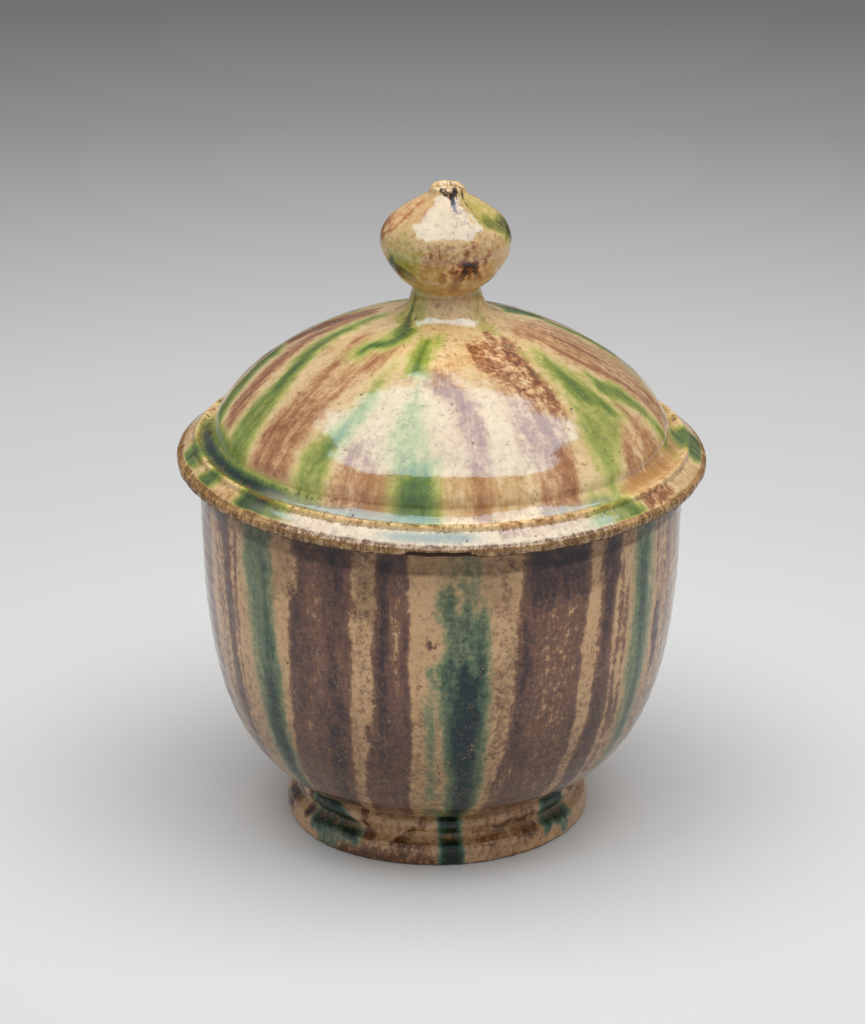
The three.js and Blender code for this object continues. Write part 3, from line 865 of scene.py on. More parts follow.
domeFoot = (bowlRadius - 2.9, lipLevel + 6.65)
cover = {
    "wall": 3.8,
    "mouthRadius": 39.1,
    "domeFoot": domeFoot,
    "domeHandles": [(42.71, 83.75), (28.5, 96.0)],
    "domeEnd": (8.6, crownLevel - 0.75),
    "knobSeat": 9.4,              # the dome stops at this radius, under the knob
    "hollowHandles": [(42.71, 82.46), (34.65, 92.27)],
    "hollowEnd": (10.15, crownLevel),
    "brimStart": (brimRadius - 0.75, brimLevel - 0.15),
    "brim": [                     # edge, slope, ridge and gutter, each curve from the last one's end
        ((brimRadius - 0.1, brimLevel - 0.1), (brimRadius + 0.1, 71.9), (brimRadius, 72.6), 9),
        ((brimRadius - 0.02, 73.1), (brimRadius - 0.2, 73.3), (brimRadius - 0.6, 73.5), 6),
        ((48.4, 74.5), (47.7, 75.0), (47.1, 75.35), 12),
        ((46.95, 75.5), (47.0, 75.85), (46.75, 76.15), 6),
        ((46.5, 76.45), (46.05, 76.4), (45.7, 76.1), 8),
        ((45.3, 75.85), (44.95, 75.85), (44.6, 76.1), 6),
        ((44.1, 76.45), (43.5, 77.1), (43.15, 77.65), 12),
        ((43.0, 77.9), (42.9, 78.0), domeFoot, 4),
    ],
    "columns": 540,
    "glazeSwell": 0.10,
    "brownSwell": 0.4,            # of the brown's swelling to the green's
    "flowStretch": 6,
    # the brim's worn edge, higher up on the left, and how far it sags below the brim's underside
    "edge": {"level": 73.55, "fade": 0.40, "line": (0.07, 22, 14, 6, 60, 0), "leftRise": 0.35,
             "bareness": 0.8, "amber": 0.85, "wear": 0.63, "wearRipple": (0.04, 12, 10, 8, 30, 1.0),
             "grit": (0.02, 5, 24, 30, 160, 3.0), "waves": (0.05, 6, 8, 8, 30, 0.5), "thickness": 0.1,
             "sag": 0.05, "sagRipple": (1, 7, 14, 12, 60, 1.0)},
    # painted shade: the ridge is darkened with dirt and amber colour, most at the front, where its steep face
    # shows dark; a painted shade line lies in the groove at its outer foot
    "ridge": {"inside": 45.3, "outside": 47.2, "above": 75.4, "dirt": 0.46, "amber": 0.42, "dull": 0.85,
              "groove": 75.35, "grooveDirt": 0.5},
    "gutterScratches": (0.25, 23, 12, 60, 200, 1.0),
    "midDomeShade": {"from": 4, "to": 26, "tone": 0.30},  # painted shade: a band half way up the dome darkened so the softbox's highlight there reads whiter
    "brimStain": 0.24,
    # the dark slit under the chipped stretch is painted shadow
    "chip": {"middle": -0.5, "halfWidth": 8.0, "raggedness": (0.8, 31, 6, 20, 70, 0), "rise": 0.15,
             "recess": 0.25, "overhang": 0.15, "slitLevel": 71.8, "slit": 0.80},
    "habit": {"ringSize": 42.0, "wander": 1.0, "fray": 0.16, "drip": 0.7, "soften": 1.4},
    "brown": [
        (0.74, 1.4, [(36, -114, -96), (31, -107, -92), (27, -104, -91), (24, -99, -87), (20.5, -94, -82),
            (16.5, -89, -78.5), (12, -84, -74), (8, -81, -72.5), (4, -78, -70), (-1, -78, -70)]),
        (0.98, 0.9, [(30, -101, -97), (24, -95, -91), (17, -85, -81.5), (12, -80, -77), (4, -76, -73)]),
        (0.62, 1.6, [(34, -69, -57), (32, -67, -31), (28, -61, -30.5), (25, -59, -36.5), (20, -58, -40),
            (15, -57, -39), (-1, -56.5, -41)]),
        (0.68, 1.8, [(14, -52, -43), (6, -51, -42.5), (-1, -51, -42)]),
        (0.82, 1.2, [(33, -67, -60), (27, -57, -50), (20, -55, -49)]),
        (0.8, 1.2, [(36, -35, -29), (31, -42, -31), (26, -43, -37), (17, -44, -40)]),
        (0.56, 1.6, [(9, -26, -21), (5, -28, -13), (-1, -30, -12)]),
        (0.74, 1.2, [(4.5, -20, -12), (-1, -22, -11)]), (0.42, 1.3, [(31, -21, 9), (28, -20, 8)]),
        (0.74, 1.5, [(29, -12, 2), (25, -6, 8.5), (21, 3, 12), (15, 5.5, 13), (10, 7.5, 13), (5, 6.5, 12.5),
            (-1, 6.5, 12.5)]),
        (0.95, 0.8, [(5, 7.5, 9), (2, 8, 9.5), (-1, 7, 9.5)]),
        (1.0, 0.8, [(5, 11, 12.4), (2, 11, 12.6), (-1, 10.6, 12.6)]),
        (0.64, 1.7, [(27, 22, 31), (24, 22, 39), (20, 23, 41), (15, 23, 41), (10, 22, 38), (5, 24, 36),
            (-1, 24, 35)]),
        (0.76, 0.9, [(12, 33, 36), (4, 33, 36), (-1, 32.5, 35.5)]),
        (0.72, 0.8, [(8, 24.5, 26.5), (3, 25, 27.5), (-1, 25, 28)]),
        (0.7, 0.8, [(9, 28.5, 31), (3, 28.5, 31), (-1, 28.5, 31)]),
        (0.66, 1.3, [(36.5, 17, 34), (34.5, 14.5, 54), (32, 15, 53), (30, 17, 51), (28, 21, 49),
            (26, 25, 48), (24, 29, 47), (22, 34, 46), (20, 37, 45), (15, 39, 43)]),
        (0.82, 0.9, [(35.5, 17, 32), (33, 16, 28), (31.5, 17, 27)]),
        (0.92, 1.0, [(39, 37, 49), (36.6, 37, 47)]),
        (0.84, 0.9, [(31, 19, 29), (28, 23, 31), (26.5, 26, 31)]),
        (0.8, 1.2, [(35, 38, 53), (31, 34, 50), (27, 36, 47), (20, 39, 45)]),
        (0.54, 1.6, [(36, 60, 96), (33, 63, 106), (30.7, 69, 112), (26, 68, 108), (22, 70, 100),
            (17.6, 73, 96), (12, 74.5, 94), (6, 78, 92), (-1, 82, 91)]),
        (0.92, 1.0, [(32, 82, 88), (26, 84, 89), (18, 85, 89)]),
        (0.88, 1.0, [(29, 70, 74.5), (24, 71.5, 76), (16, 77, 80.5), (8, 82, 85)]),
        (0.84, 0.9, [(34, 68, 78), (31, 72, 79)]), (0.6, 1.4, [(9, 53, 61), (4, 52, 62), (-1, 52, 63)]),
        (0.6, 1.4, [(12, 64, 67.5), (8, 64, 69), (4, 62, 70), (-1, 61, 71)]),
        (0.66, 1.2, [(-6.0, 49, 62), (-9.4, 49, 62)]),
        (0.95, 0.5, [(-6.4, 51, 54), (-7.2, 52, 55), (-8.6, 50.5, 53)]),
        (0.95, 0.4, [(-6.2, 56, 58), (-7.4, 57, 59)]), (0.45, 1.0, [(-5.2, 12, 34), (-6.6, 12, 34)]),
        (0.35, 1.2, [(-6.4, -60, -50), (-9.4, -60, -50)]), (0.3, 1.2, [(-8.4, -34, -14), (-9.6, -34, -14)]),
        (0.85, 1.3, [(29, 118, 128), (20, 117, 129), (8, 118, 128), (-1, 118, 127)]),
        (0.85, 1.3, [(36, 132, 150), (24, 134, 152), (10, 136, 150), (-1, 137, 149)]),
        (1.15, 1.3, [(30, 138, 146), (14, 139, 146), (-1, 139, 145)]),
        (0.85, 1.2, [(30, 166, 176), (14, 165, 178), (-1, 166, 177)]),
        (0.9, 1.3, [(37, 190, 210), (22, 192, 208), (8, 193, 207), (-1, 194, 206)]),
        (1.15, 1.3, [(34, 196, 206), (16, 197, 204), (-1, 196, 203)]),
        (0.8, 1.2, [(28, 222, 234), (12, 223, 233), (-1, 224, 232)]),
        (0.9, 1.3, [(36, 240, 262), (24, 244, 260), (10, 246, 259), (-1, 247, 258)]),
        (0.75, 0.9, [(-5, 120, 131), (-9, 119, 132)]), (0.75, 0.9, [(-5, 208, 222), (-9, 206, 221)]),
    ],
    "bare": [
        (0.2, 0.9, [(31.5, 30, 36), (29, 31, 37)]), (0.2, 0.9, [(27, 33, 38), (24.5, 32, 37)]),
        (0.25, 1.2, [(27, -51, -46), (20, -50, -46)]), (0.2, 1.2, [(25, 26, 30), (18, 26, 29)]),
    ],
    "curdle": [
        (0.8, 1.6, [(39, 36, 50), (36, 15, 54), (30, 17, 52), (24, 28, 50), (17, 38, 46)]),
        (0.6, 1.2, [(-6, 48, 64), (-9.6, 48, 64)]),
    ],
    "scored": [
        (0.9, 2.5, [(29, -12, -4), (26, -14, -3), (23, -17, -4), (16, -18, -6), (8, -20, -2), (5, -14, -2)]),
        (0.6, 2.5, [(10, -32, -20), (6, -32, -18)]), (0.6, 2.0, [(12, 44, 56), (5, 44, 58)]),
        (0.5, 2.0, [(26, -72, -62), (6, -70, -58)]),
    ],
    "green": [
        (0.74, 2.0, [(38, -98, -82), (34, -93, -78), (29, -89, -74.5), (25, -84, -71), (22, -80, -67.5),
            (18.6, -75, -63.5), (16, -72, -61.5), (10, -70, -59), (-1, -68, -56)]),
        (1.04, 1.6, [(32, -88, -79), (27, -83, -75), (22, -77, -69), (16, -71, -64)]),
        (0.86, 1.6, [(16, -106, -94), (12, -98, -88), (8, -94, -83.5), (3, -90, -80)]),
        (0.4, 2.4, [(29, -31, -22), (27, -31, -22), (24, -31, -23)]),
        (0.66, 2.2, [(23, -29.5, -24.5), (19, -31, -24), (15, -33, -26), (12, -36, -27), (7, -39, -29),
            (-1, -40, -30)]),
        (0.85, 1.6, [(13, -33, -28), (9, -36, -29), (4, -37, -32)]),
        (0.46, 2.4, [(24, -13, -8.5), (18, -17, -5), (12, -17, -2), (5, -14, -2)]),
        (0.56, 1.6, [(20, -14, -10), (12, -14, -10)]), (0.7, 2.2, [(6.5, -14, -0.5), (-1, -14, 0)]),
        (0.98, 1.6, [(4.5, -12, -2), (-1, -12, -2)]),
        (0.52, 2.6, [(28, 49, 62), (25, 47, 65), (20, 47, 66), (15, 45, 64), (10, 42, 62), (5, 42, 53),
            (-1, 43, 50)]),
        (0.92, 2.4, [(25, 52, 59), (21, 50, 61), (17, 50, 62), (14, 56, 63)]),
        (0.66, 1.8, [(12, 44, 52), (3, 44, 50), (-1, 44, 49)]),
        (0.8, 1.6, [(19, 66, 70), (16.5, 62, 75), (14, 66, 76), (8, 72.5, 77), (3, 74.5, 78.5),
            (-1, 76, 80)]),
        (1.0, 1.0, [(18, 67.5, 71), (15, 69, 74), (10, 73, 76)]),
        (0.6, 2.4, [(54, -80, -28), (48, -72, -24), (44, -62, -20), (41, -54, -20), (38.5, -52, -25),
            (36, -53, -30), (33, -57, -38), (31.5, -57, -44)]),
        (1.12, 1.8, [(54, -72, -36), (48, -64, -32), (44, -56, -30), (41, -52, -29), (38.5, -46, -29),
            (36.5, -43, -32), (35, -49, -35), (33.5, -54, -39), (32.4, -54, -46)]),
        (0.3, 2.6, [(43, -66, -46), (39, -64, -46), (36.5, -60, -48)]),
        (0.62, 2.0, [(40, -9, 2), (37, -13, 0), (35, -18, -5), (33, -20, -6), (30, -17, -7)]),
        (1.06, 1.8, [(36, -17, -8), (33, -19, -7), (30.2, -17, -8)]),
        (0.26, 2.4, [(42, -24, 4), (38, -20, 0)]), (0.4, 1.3, [(42, 45, 60), (39, 48, 58)]),
        (1.05, 1.2, [(37, 108, 132), (34, 112, 134), (31, 112, 124)]),
        (0.9, 1.8, [(-4.8, -86, -72), (-7.0, -84, -71), (-9.5, -83, -75)]),
        (1.1, 1.4, [(-5.6, -82, -75), (-8.0, -81, -76)]),
        (1.0, 1.8, [(-4.8, -65, -59), (-7.2, -68, -60), (-9.5, -66, -61)]),
        (0.85, 2.0, [(-3.6, -49, -38), (-5.4, -52, -36), (-9.4, -47, -37)]),
        (1.25, 1.5, [(-5.0, -50, -40), (-7.4, -51, -41)]),
        (0.55, 2.2, [(-3.6, 36, 46), (-5.6, 34, 49), (-9.6, 33, 46)]),
        (1.0, 1.7, [(-4.8, 42, 47), (-7.6, 44, 49)]),
        (1.0, 2.0, [(-4.0, 83, 98), (-7.0, 80, 98), (-9.6, 83, 98)]),
        (0.85, 1.5, [(28, 106, 113), (18, 105, 114), (8, 104, 113), (-1, 104, 112)]),
        (0.9, 1.6, [(38, 154, 164), (20, 154, 163), (-1, 153, 163)]),
        (0.75, 1.4, [(26, 180, 188), (10, 180, 190), (-1, 179, 190)]),
        (0.9, 1.6, [(36, 212, 220), (18, 211, 221), (-1, 210, 221)]),
        (0.8, 1.4, [(30, 235, 240), (-1, 234, 243)]), (0.9, 1.0, [(-5, 150, 162), (-9.4, 150, 161)]),
        (0.85, 1.0, [(-5, 228, 240), (-9.4, 229, 240)]),
    ],
    "pools": {                    # in the hollows: strength, middle level, spread, from, to, fade
        "green": [
            (1.45, -2.2, 2.0, -100, -38, 14), (0.8, 0.6, 2.6, -96, -60, 14),
            (0.55, -2.4, 1.6, 36, 47, 8), (0.42, -3.8, 1.0, -18, 4, 10),
            (1.1, -2.2, 2.3, 200, 250, 14)],
        # painted reflection of the softbox in the gutter and on the brim's front
        "veil": [
            (0.85, -2.6, 1.6, -46, -4, 16), (0.62, -2.6, 1.6, 24, 46, 10),
            (0.95, -7.2, 1.3, -13, 8, 14), (0.6, -7.2, 1.3, -46, -33, 12),
            (0.4, -7.2, 1.3, 32, 46, 12)],
        "amber": [
            (0.8, -2.0, 2.2, 48, 86, 6), (0.5, 0.6, 2.4, 56, 86, 10), (0.7, -2.0, 2.2, 96, 200, 14),
            (0.5, -4.0, 1.6, 46, 84, 8), (0.34, -4.0, 1.2, -72, 24, 10), (0.4, -4.0, 1.2, 96, 280, 10)],
        "dirt": [
            (0.66, -3.9, 1.1, -74, 26, 10), (0.5, -3.9, 1.1, 96, 282, 10), (0.4, -0.7, 0.8, -90, -20, 20)],
    },
    "amber": [
        (0.4, 1.6, [(-5.2, -92, -84), (-9, -92, -84)]), (0.4, 1.6, [(-6, -73, -66), (-9, -73, -66)]),
        (0.4, 1.6, [(-6, -60, -50), (-9, -60, -50)]), (0.46, 1.6, [(5.2, -1, 22), (-1, -1, 22)]),
        (0.4, 1.6, [(5.2, -20, -11), (-1, -20, -11)]), (0.34, 1.6, [(-5.6, 63, 80), (-9.4, 63, 80)]),
        (0.22, 3.0, [(40, 52, 90), (24, 60, 90)]), (0.22, 3.0, [(42, -90, -56), (30, -90, -62)]),
    ],
    "speck": [
        (0.35, 1.8, [(12, -40, 0), (0, -40, 0)]), (0.35, 1.8, [(9, 20, 40), (-1, 20, 40)]),
        (0.28, 1.2, [(-5.6, -50, 60), (-9.4, -50, 60)]), (0.35, 2.0, [(40, -20, 20), (34, -20, 20)]),
        (0.4, 2.0, [(46, -60, 40), (40, -60, 40)]),
    ],
}


def makeCover():
    mouth, domeFoot, lipSide = cover["mouthRadius"], cover["domeFoot"], (bowlRadius + 0.6, lipLevel)
    dome = bezier(domeFoot, *cover["domeHandles"], cover["domeEnd"], 84)
    dome = dome[dome[:, 0] > cover["knobSeat"]]
    overHollow = bezier(domeFoot, *cover["hollowHandles"], cover["hollowEnd"], 26)
    hollow = insideOf(overHollow, cover["wall"])[::-1]
    outside = joined(curves(cover["brimStart"], cover["brim"]), dome)
    underside = joined(
        line((0, hollow[0][1]), hollow[0], 5),
        hollow,
        line(hollow[-1], (mouth, lipLevel), 4),
        line((mouth, lipLevel), lipSide, 6),
        line(lipSide, outside[0], 6),
    )
    profile = joined(
        underside,
        outside,
        line(dome[-1], (0, dome[-1][1] + 0.02), 6),
    )
    level = runLength(profile, domeFoot)[:, None]
    isOutside = (np.arange(len(profile)) >= len(underside) - 1)[:, None] * 1.0
    edge, ridge, chip, midDomeShade = cover["edge"], cover["ridge"], cover["chip"], cover["midDomeShade"]

    def edgeBand(azimuth, z):
        # 1 on the brim's rough outer edge, fading out above it at an uneven line
        uneven = ripple(azimuth, 0, *edge["line"]) + edge["leftRise"] * np.clip(-np.sin(azimuth), 0, 1)
        return (1 - smoothStep((z - edge["level"] - uneven) / edge["fade"])) * isOutside

    def chipAt(azimuth):
        # 1 in the flaked stretch at the front, with ragged ends
        away = abs(degreesFrom(chip["middle"], azimuth)) + ripple(azimuth, 0, *chip["raggedness"])
        return smoothStep((chip["halfWidth"] - away) / 2.5)

    def paint(azimuth, radius, z):
        washes = washesOf(cover, azimuth, level, radius, isOutside)
        band = edgeBand(azimuth, z)
        for kind in ("green", "brown", "veil"):
            washes[kind] = washes[kind] * (1 - edge["bareness"] * band)
        edgeWear = band * (edge["wear"] + ripple(azimuth, z, *edge["wearRipple"]))
        # painted shade along the ridge, strongest at the front, and a painted shade line in the groove at its
        # outer foot
        onRidge = smoothStep((radius - ridge["inside"]) / 0.5) * smoothStep((ridge["outside"] - radius) / 0.5)
        onRidge = onRidge * (z > ridge["above"]) * isOutside
        onRidge = onRidge * (0.35 + 0.65 * smoothStep((np.cos(azimuth) - 0.45) / 0.4))
        groove = ridge["grooveDirt"] * bell(z, ridge["groove"], 0.22) * (radius > 46.6) * isOutside
        groove = np.maximum(groove, ridge["dirt"] * onRidge)
        washes["amber"] = np.maximum(washes["amber"], edge["amber"] * band)
        washes["amber"] = np.maximum(washes["amber"], ridge["amber"] * onRidge)
        washes["dull"] = ridge["dull"] * onRidge
        scratched = 1 + ripple(azimuth, 0.2 * level, *cover["gutterScratches"]) * (level < -2)
        settled = washes["dirt"] * scratched
        under = (z < lipLevel + 0.3) & (radius > mouth)
        washes["dirt"] = np.maximum(np.maximum(edgeWear, groove), np.maximum(settled, 0.5 * under))
        # painted shadow in the slit under the chipped edge
        slitTop = chip["slitLevel"] + chip["slit"] * chipAt(azimuth)
        washes["ink"] = smoothStep((slitTop - z) / 0.12) * (z > 71.5) * (z < 73) * (radius > 49)
        # painted shade half way up the dome, under the softbox's highlight
        midShadeBand = smoothStep((level - midDomeShade["from"]) / 5) * (1 - smoothStep((level - midDomeShade["to"]) / 6))
        onBrim = cover["brimStain"] * (radius > 46.8) * (z > 73.4)
        toned = np.maximum(midDomeShade["tone"] * (midShadeBand * isOutside), onBrim)
        washes["stain"] = np.maximum(washes["stain"], toned)
        washes["speck"] = np.maximum(washes["speck"], 0.20)
        washes["flow"] = flowOf(azimuth, level, cover["habit"]["ringSize"], cover["flowStretch"])
        return washes

    def shape(azimuth, radius, z):
        r, moved, lean = potShape(azimuth, radius, z)
        washes = paint(azimuth, radius, z)
        swell = cover["glazeSwell"] * np.minimum(washes["green"] + cover["brownSwell"] * washes["brown"], 1.0)
        moved = moved + swell * smoothStep((z - 78) / 8)
        r = r + swell * (1 - smoothStep((z - 78) / 12)) * isOutside
        rough = ripple(azimuth, z, *edge["grit"]) + ripple(azimuth, z, *edge["waves"]) + edge["thickness"]
        r = r + rough * edgeBand(azimuth, z)
        below = z < 73.2
        beyondLip = smoothStep((radius - bowlRadius - 0.3) / 1.5) * below
        overLip = smoothStep((radius - 42.0) / 1.5) * below
        moved = moved + edge["sag"] * (ripple(azimuth, z, *edge["sagRipple"]) + 1) * beyondLip
        flaked = chipAt(azimuth)
        r = r - chip["recess"] * flaked * (z < 72.65) * beyondLip
        r = r + chip["overhang"] * flaked * (z > 72.8) * (z < 73.7) * beyondLip
        moved = moved + chip["rise"] * flaked * np.clip((73.4 - z) / 1.9, 0, 1) * overLip
        return r, moved, lean

    return turnedMesh("coverDome", profile, cover["columns"], shape, paint)


coverDome = makeCover()
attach(coverDome, "cover")
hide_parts("cover_dome")
# the cover's ink colour is the painted shadow in the chipped slit
coverDome.data.materials.append(glaze(
    # its veil colour is the painted reflection's
    "streakedCoverGlaze", dirt=(92, 62, 36), ink=(58, 40, 30), veil=(148, 148, 120)))
print("cover made")


# Locating ring under the cover

locatingRing = {
    "rounding": 0.7,
    "thickness": 2.4,
    "columns": 240,
    "flowStretch": 3,
}


def makeLocatingRing():
    rounding = locatingRing["rounding"]
    inner = ringRadius - locatingRing["thickness"]
    profile = joined(
        arc((inner + rounding, ringLevel + rounding), rounding, 180, 270, 6),
        arc((ringRadius - rounding, ringLevel + rounding), rounding, -90, 0, 6),
        line((ringRadius, ringLevel + rounding), (ringRadius, ringTop), 6),
        line((ringRadius, ringTop), (inner, ringTop), 4),
        line((inner, ringTop), (inner, ringLevel + rounding), 6)[:-1],
    )

    def paint(azimuth, radius, level):
        # no run lies on it, only dirt along its lower edge and a few specks
        return {
            "dirt": 0.45 * smoothStep((ringLevel + 1.2 - level) / 1.2),
            "speck": 0.2,
            "flow": flowOf(azimuth, level, ringRadius, locatingRing["flowStretch"]),
        }

    return turnedMesh("locatingRing", profile, locatingRing["columns"], potShape, paint, closed=True)


ringPiece = makeLocatingRing()
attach(ringPiece, "cover")
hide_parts("cover_locating_ring")
ringPiece.data.materials.append(glaze("wipedClay", roughness=0.35, gloss=0.4, scratches=0.3))
print("locating ring made")


# Knob, luted on a little off the dome's axis

knob = {
    "columns": 360,
    "tipRise": 0.8,               # the broken tip stands this much above the solid's
    "tipHollow": 1.0,
    "rimWidth": 0.7,
    # painted shade inside the broken tip's hollow
    "hollowShade": 0.5,
    "breakLevel": 123.4,          # from here up the tip is broken off unevenly
    "breakDepth": 0.14,
    "breakRound": (1, 14, 8, 2, 9, 1.0),
    "breakDown": (1, 15, 8, 1, 6, 0.8),
    "dull": {"level": 112.8, "spread": 1.9, "strength": 0.70},
    "unscored": -0.4,
    "flowStretch": 2,
    "leanLevels": [100, 103, 106, 116, 121, 125],
    "leanAcross": [1.3, 1.4, 1.3, 1.2, 1.5, 1.5],
    "outline": [
        (11.3, 99.42), (10.5, 99.85), (9.7, 100.25), (8.9, 100.8), (8.2, 101.45), (7.6, 102.25), (7.1, 103.2),
        (6.75, 104.3), (6.55, 105.4), (6.65, 106.1),
        (7.15, 106.65), (8.1, 107.35), (9.3, 108.4), (10.4, 109.8), (11.35, 111.6), (12.05, 113.3),
        (12.3, 114.8), (12.15, 116.2), (11.6, 117.6), (10.75, 118.8), (9.5, 119.95), (7.8, 121.15),
        (6.0, 122.35), (4.65, 123.15), (3.8, 123.75), (3.4, 124.3), (3.2, 124.85),
    ],
    "habit": {"ringSize": 12.0, "wander": 0.6, "fray": 0.2, "drip": 0.4, "soften": 1.4},
    "amber": [
        (0.58, 1.4, [(115.6, -14, 2), (113, -24, 2), (109, -50, 2)]),
        (0.42, 1.4, [(113.6, 40, 60), (109, 38, 70)]),
        (0.58, 1.4, [(109.4, -50, 70), (107, -60, 70), (106, -46, 66)]),
        (0.06, 1.8, [(107, -46, 66), (103, -46, 66)]), (0.3, 2.0, [(113, 30, 100), (104, 30, 110)]),
        (0.55, 2.0, [(115, 100, 260), (104, 100, 260)]),
    ],
    "brown": [
        (0.4, 1.0, [(123, -95, -44), (122, -95, -46), (120, -95, -54), (118.5, -95, -58), (116.5, -95, -68),
            (115, -95, -77)]),
        (0.78, 0.7, [(122.2, -68, -56), (121, -64, -56), (120, -62, -56), (118.6, -62, -57),
            (116.6, -80, -72)]),
        (0.75, 0.9, [(118.6, -95, -78), (115, -95, -80)]),
        (0.55, 0.5, [(121.4, -40, -30), (120.9, -43, -34)]), (0.14, 1.2, [(116.4, 4, 46), (112.4, 0, 44)]),
        (0.6, 0.6, [(117.0, 22, 30), (115.8, 24, 31)]), (0.7, 0.6, [(115.6, 16, 20), (114, 16, 20)]),
        (0.66, 0.6, [(115, 34, 44), (113.6, 34, 40)]),
        (0.8, 0.9, [(112.8, 2, 30), (110.5, 3, 26), (108.4, 3, 16)]),
        (1.5, 0.7, [(113.2, 14, 26), (111.8, 12, 23), (110.2, 8, 17), (108.6, 5, 13)]),
        (1.38, 0.7, [(113.2, 20, 30), (112.2, 22, 34), (110.8, 28, 38)]),
        (1.2, 0.3, [(115.6, -14, -11), (115.0, -14, -11)]), (1.2, 0.3, [(116.1, -7, -4), (115.4, -7, -4)]),
        (1.1, 0.3, [(111.5, -6, 0), (110.3, -6, 0)]),
        (1.6, 0.3, [(124.2, 2, 22), (123.6, 8, 20), (122.6, 10, 16)]),
        (1.3, 0.3, [(122.4, 40, 47), (121.4, 41, 46)]), (0.6, 0.9, [(120, 120, 160), (112, 125, 165)]),
    ],
    "curdle": [
        (0.7, 1.0, [(118.6, -8, 48), (109.5, -8, 48)]),
    ],
    "green": [
        (0.38, 1.0, [(123.4, 34, 96), (121, 30, 96), (119.6, 40, 96), (118, 60, 96)]),
        (0.78, 0.9, [(119.9, 44, 66), (119.0, 50, 96), (117.4, 66, 96)]),
        (1.0, 0.8, [(119.0, 64, 96), (116.4, 74, 96)]),
        (0.28, 1.8, [(117.0, -58, -28), (115, -64, -20), (112, -70, -20), (110, -66, -22)]),
        (0.56, 1.4, [(113.6, -56, -22), (110.4, -62, -24)]),
        (1.05, 0.9, [(113.4, -60, -50), (112.4, -66, -50), (111.2, -70, -32), (110.0, -60, -28)]),
        (0.5, 1.6, [(107.0, -78, -34), (104, -80, -28), (101, -84, -26), (98, -82, -24)]),
        (0.98, 0.9, [(107, -66, -54), (103, -68, -56), (101.5, -64, -50), (100.2, -56, -38),
            (98, -56, -34)]),
        (0.45, 1.2, [(107, 44, 80), (105.5, 44, 80)]), (0.42, 0.9, [(102.4, 40, 60), (100, 36, 60)]),
        (0.8, 0.9, [(119, 190, 230), (108, 195, 225)]),
    ],
    "speck": [
        (0.56, 0.9, [(116.8, -60, 46), (112.6, -60, 44)]), (0.56, 0.9, [(119.8, 50, 90), (118.0, 50, 90)]),
        (0.5, 0.9, [(123, 0, 60), (121, 0, 60)]), (0.3, 1.2, [(110, -40, 60), (102, -40, 60)]),
    ],
    "ink": [
        (0.66, 0.3, [(125.8, -40, -10), (124.9, -36, 6), (124.4, -16, 30), (123.9, 0, 26)]),
        (0.66, 0.3, [(125.8, 20, 44), (124.9, 14, 36), (124.2, 10, 26), (123.4, 8, 20)]),
        (0.75, 0.3, [(125.8, 52, 72), (124.5, 46, 62), (123.8, 42, 54), (123.3, 40, 48), (122.6, 39, 45)]),
    ],
    "stain": [
        # the second run is painted shade: the ball's upper front is darkened so the softbox's highlight there
        # reads whiter; the first darkens the lower left
        (0.35, 1.6, [(116, -90, -58), (109, -90, -50)]), (0.42, 1.6, [(122.5, -60, 50), (117.5, -60, 50)]),
    ],
}


def makeKnob():
    side = smoothThrough(knob["outline"], 140)
    tipRadius = side[-1][0]
    top = knobTop + knob["tipRise"]
    rimRadius = tipRadius - knob["rimWidth"]
    hollow = (rimRadius - 1.1, top - knob["tipHollow"])
    tip = curves(side[-1], [
        ((tipRadius - 0.05, top - 0.2), (tipRadius - 0.3, top), (rimRadius, top), 7),
        ((rimRadius - 0.5, top), (rimRadius - 0.8, top - 0.4), hollow, 7),
    ])
    profile = joined(
        line((0, side[0][1] + 0.1), side[0], 4),
        side,
        tip,
        line(hollow, (0, hollow[1]), 4),
    )

    def paint(azimuth, radius, level):
        washes = washesOf(knob, azimuth, level, np.maximum(radius, 0.5))
        dull = knob["dull"]
        washes["ink"] = washes["ink"] * (radius > rimRadius - 0.2)
        # painted shade inside the broken tip's hollow
        washes["dirt"] = knob["hollowShade"] * ((radius < rimRadius - 0.3) & (level > knob["breakLevel"]))
        washes["speck"] = np.maximum(washes["speck"], 0.22)
        washes["scored"] = knob["unscored"]
        washes["dull"] = dull["strength"] * bell(level, dull["level"], dull["spread"])
        washes["flow"] = flowOf(azimuth, level, knobRadius, knob["flowStretch"])
        return washes

    def shape(azimuth, radius, level):
        r, z, _ = potShape(azimuth, radius, level)
        lean = np.interp(level, knob["leanLevels"], knob["leanAcross"])
        broken = smoothStep((level - knob["breakLevel"]) / 1.2) * knob["breakDepth"]
        r = r + broken * ripple(azimuth, level, *knob["breakRound"]) * smoothStep(radius / 1.5)
        z = z - broken * (ripple(azimuth, level + radius, *knob["breakDown"]) + 0.6)
        return r, np.minimum(z, top), lean

    return turnedMesh("knobPiece", profile, knob["columns"], shape, paint)


knobPiece = makeKnob()
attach(knobPiece, "cover")
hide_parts("knob")
knobPiece.data.materials.append(glaze(
    "knobGlaze", cream=(244, 208, 148), buff=(230, 186, 124), amber=(188, 134, 62),
    browns=[(0.10, 232, 176, 116), (0.50, 212, 146, 88), (0.90, 158, 96, 54), (1.35, 66, 36, 30)],
    greens=[(0.10, 216, 196, 116), (0.45, 192, 178, 84), (0.75, 138, 134, 52),
            (1.05, 84, 84, 34), (1.30, 48, 46, 22)],
    speck=(150, 104, 60), ink=(50, 46, 50), sheen=(0.50, 0.80, 1.0, 1.0), gloss=1.0,
    streaks=0.06, fibres=0.05, mottling=0.14, flecks=0.12, graining=0.10, pepper=0.7, roughness=0.10,
))
print("knob made")


# Studio: a pale sweep with painted light falloff, its tone falling away from the pot, one large softbox
# overhead and a weak even sky

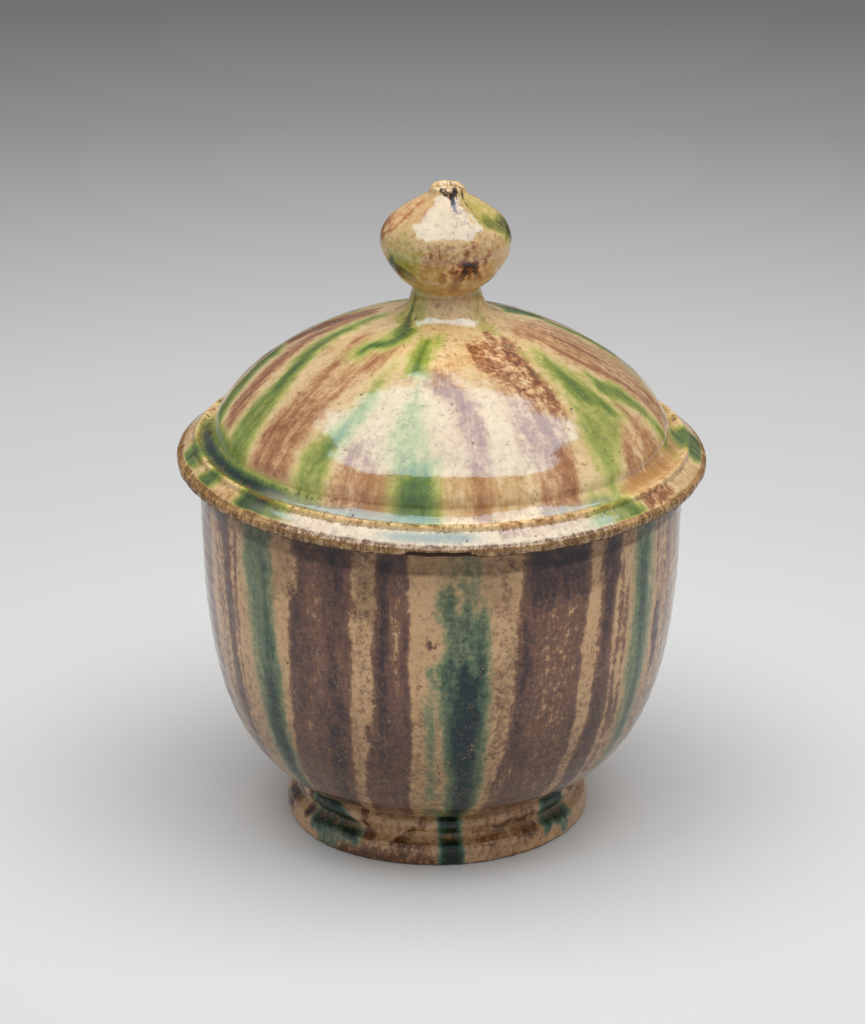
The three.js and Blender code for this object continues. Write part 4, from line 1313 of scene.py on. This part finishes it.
studio = {
    "floorSize": 8.0,             # metres
    # painted light falloff: the floor's grey by distance from the pot
    "floorLightFalloff": [(0.0, 217), (0.10, 214), (0.17, 204), (0.26, 196), (0.36, 176), (0.48, 147),
                   (0.62, 121), (0.90, 98)],
    "toneReach": 0.90,            # metres from the pot at which the last tone is met
    "skyInFront": 0.48,
    "skyBehind": 0.24,
    "softbox": {"place": (0.125, -0.17, 1.29), "width": 2.01, "depth": 1.22, "power": 20.6},
}


def makeStudio():
    half = studio["floorSize"] / 2
    corners = [(-half, -half, 0), (half, -half, 0), (half, half, 0), (-half, half, 0)]
    mesh = bpy.data.meshes.new("floor")
    mesh.from_pydata(corners, [], [(0, 1, 2, 3)])
    floor = bpy.data.objects.new("floor", mesh)
    bpy.context.scene.collection.objects.link(floor)
    m = Tree(bpy.data.materials.new("paleSweep"))
    away = m.add("ShaderNodeVectorMath", {"operation": "LENGTH"},
                 {0: m.add("ShaderNodeTexCoord", {}, {}, "Object")}, "Value")
    greys = [(distance, tone, tone, tone) for distance, tone in studio["floorLightFalloff"]]
    shader = m.add("ShaderNodeBsdfPrincipled", {}, {
        "Base Color": m.ramp(away, studio["toneReach"], greys), "Roughness": 0.9, "Specular IOR Level": 0.0})
    floor.data.materials.append(m.finish(shader))

    world = bpy.data.worlds.new("sky")
    bpy.context.scene.world = world
    w = Tree(world)
    ahead = w.add("ShaderNodeSeparateXYZ", {}, {0: w.add("ShaderNodeTexCoord", {}, {}, "Generated")}, "Y")
    glow = w.step(ahead, -1.0, 1.0) * (studio["skyBehind"] - studio["skyInFront"]) + studio["skyInFront"]
    w.finish(w.add("ShaderNodeBackground", {}, {"Color": (1, 1, 1, 1), "Strength": glow}),
             "ShaderNodeOutputWorld")

    box = studio["softbox"]
    lamp = bpy.data.lights.new("softbox", "AREA")
    lamp.shape = "RECTANGLE"
    lamp.size, lamp.size_y = box["width"], box["depth"]
    lamp.energy = box["power"]
    softbox = bpy.data.objects.new("softbox", lamp)
    softbox.location = box["place"]
    bpy.context.scene.collection.objects.link(softbox)


# Camera: the photograph's view, 22 degrees above the horizontal

view = {
    "elevation": 21.735,
    "distance": 0.7469,           # metres from the aim
    "aim": (-0.00124, 0, 0.06041),
    "lens": 137.79,
    "sensor": 36.0,
}


def makeCamera():
    data = bpy.data.cameras.new("camera")
    data.lens, data.sensor_width = view["lens"], view["sensor"]
    camera = bpy.data.objects.new("camera", data)
    up = np.radians(view["elevation"])
    back = Vector((0, -np.cos(up), np.sin(up)))
    camera.location = Vector(view["aim"]) + view["distance"] * back
    camera.rotation_euler = Euler((np.pi / 2 - up, 0, 0))
    bpy.context.scene.collection.objects.link(camera)
    bpy.context.scene.camera = camera


makeStudio()
makeCamera()
bpy.context.scene.view_settings.view_transform = "Standard"
print("studio and camera made")
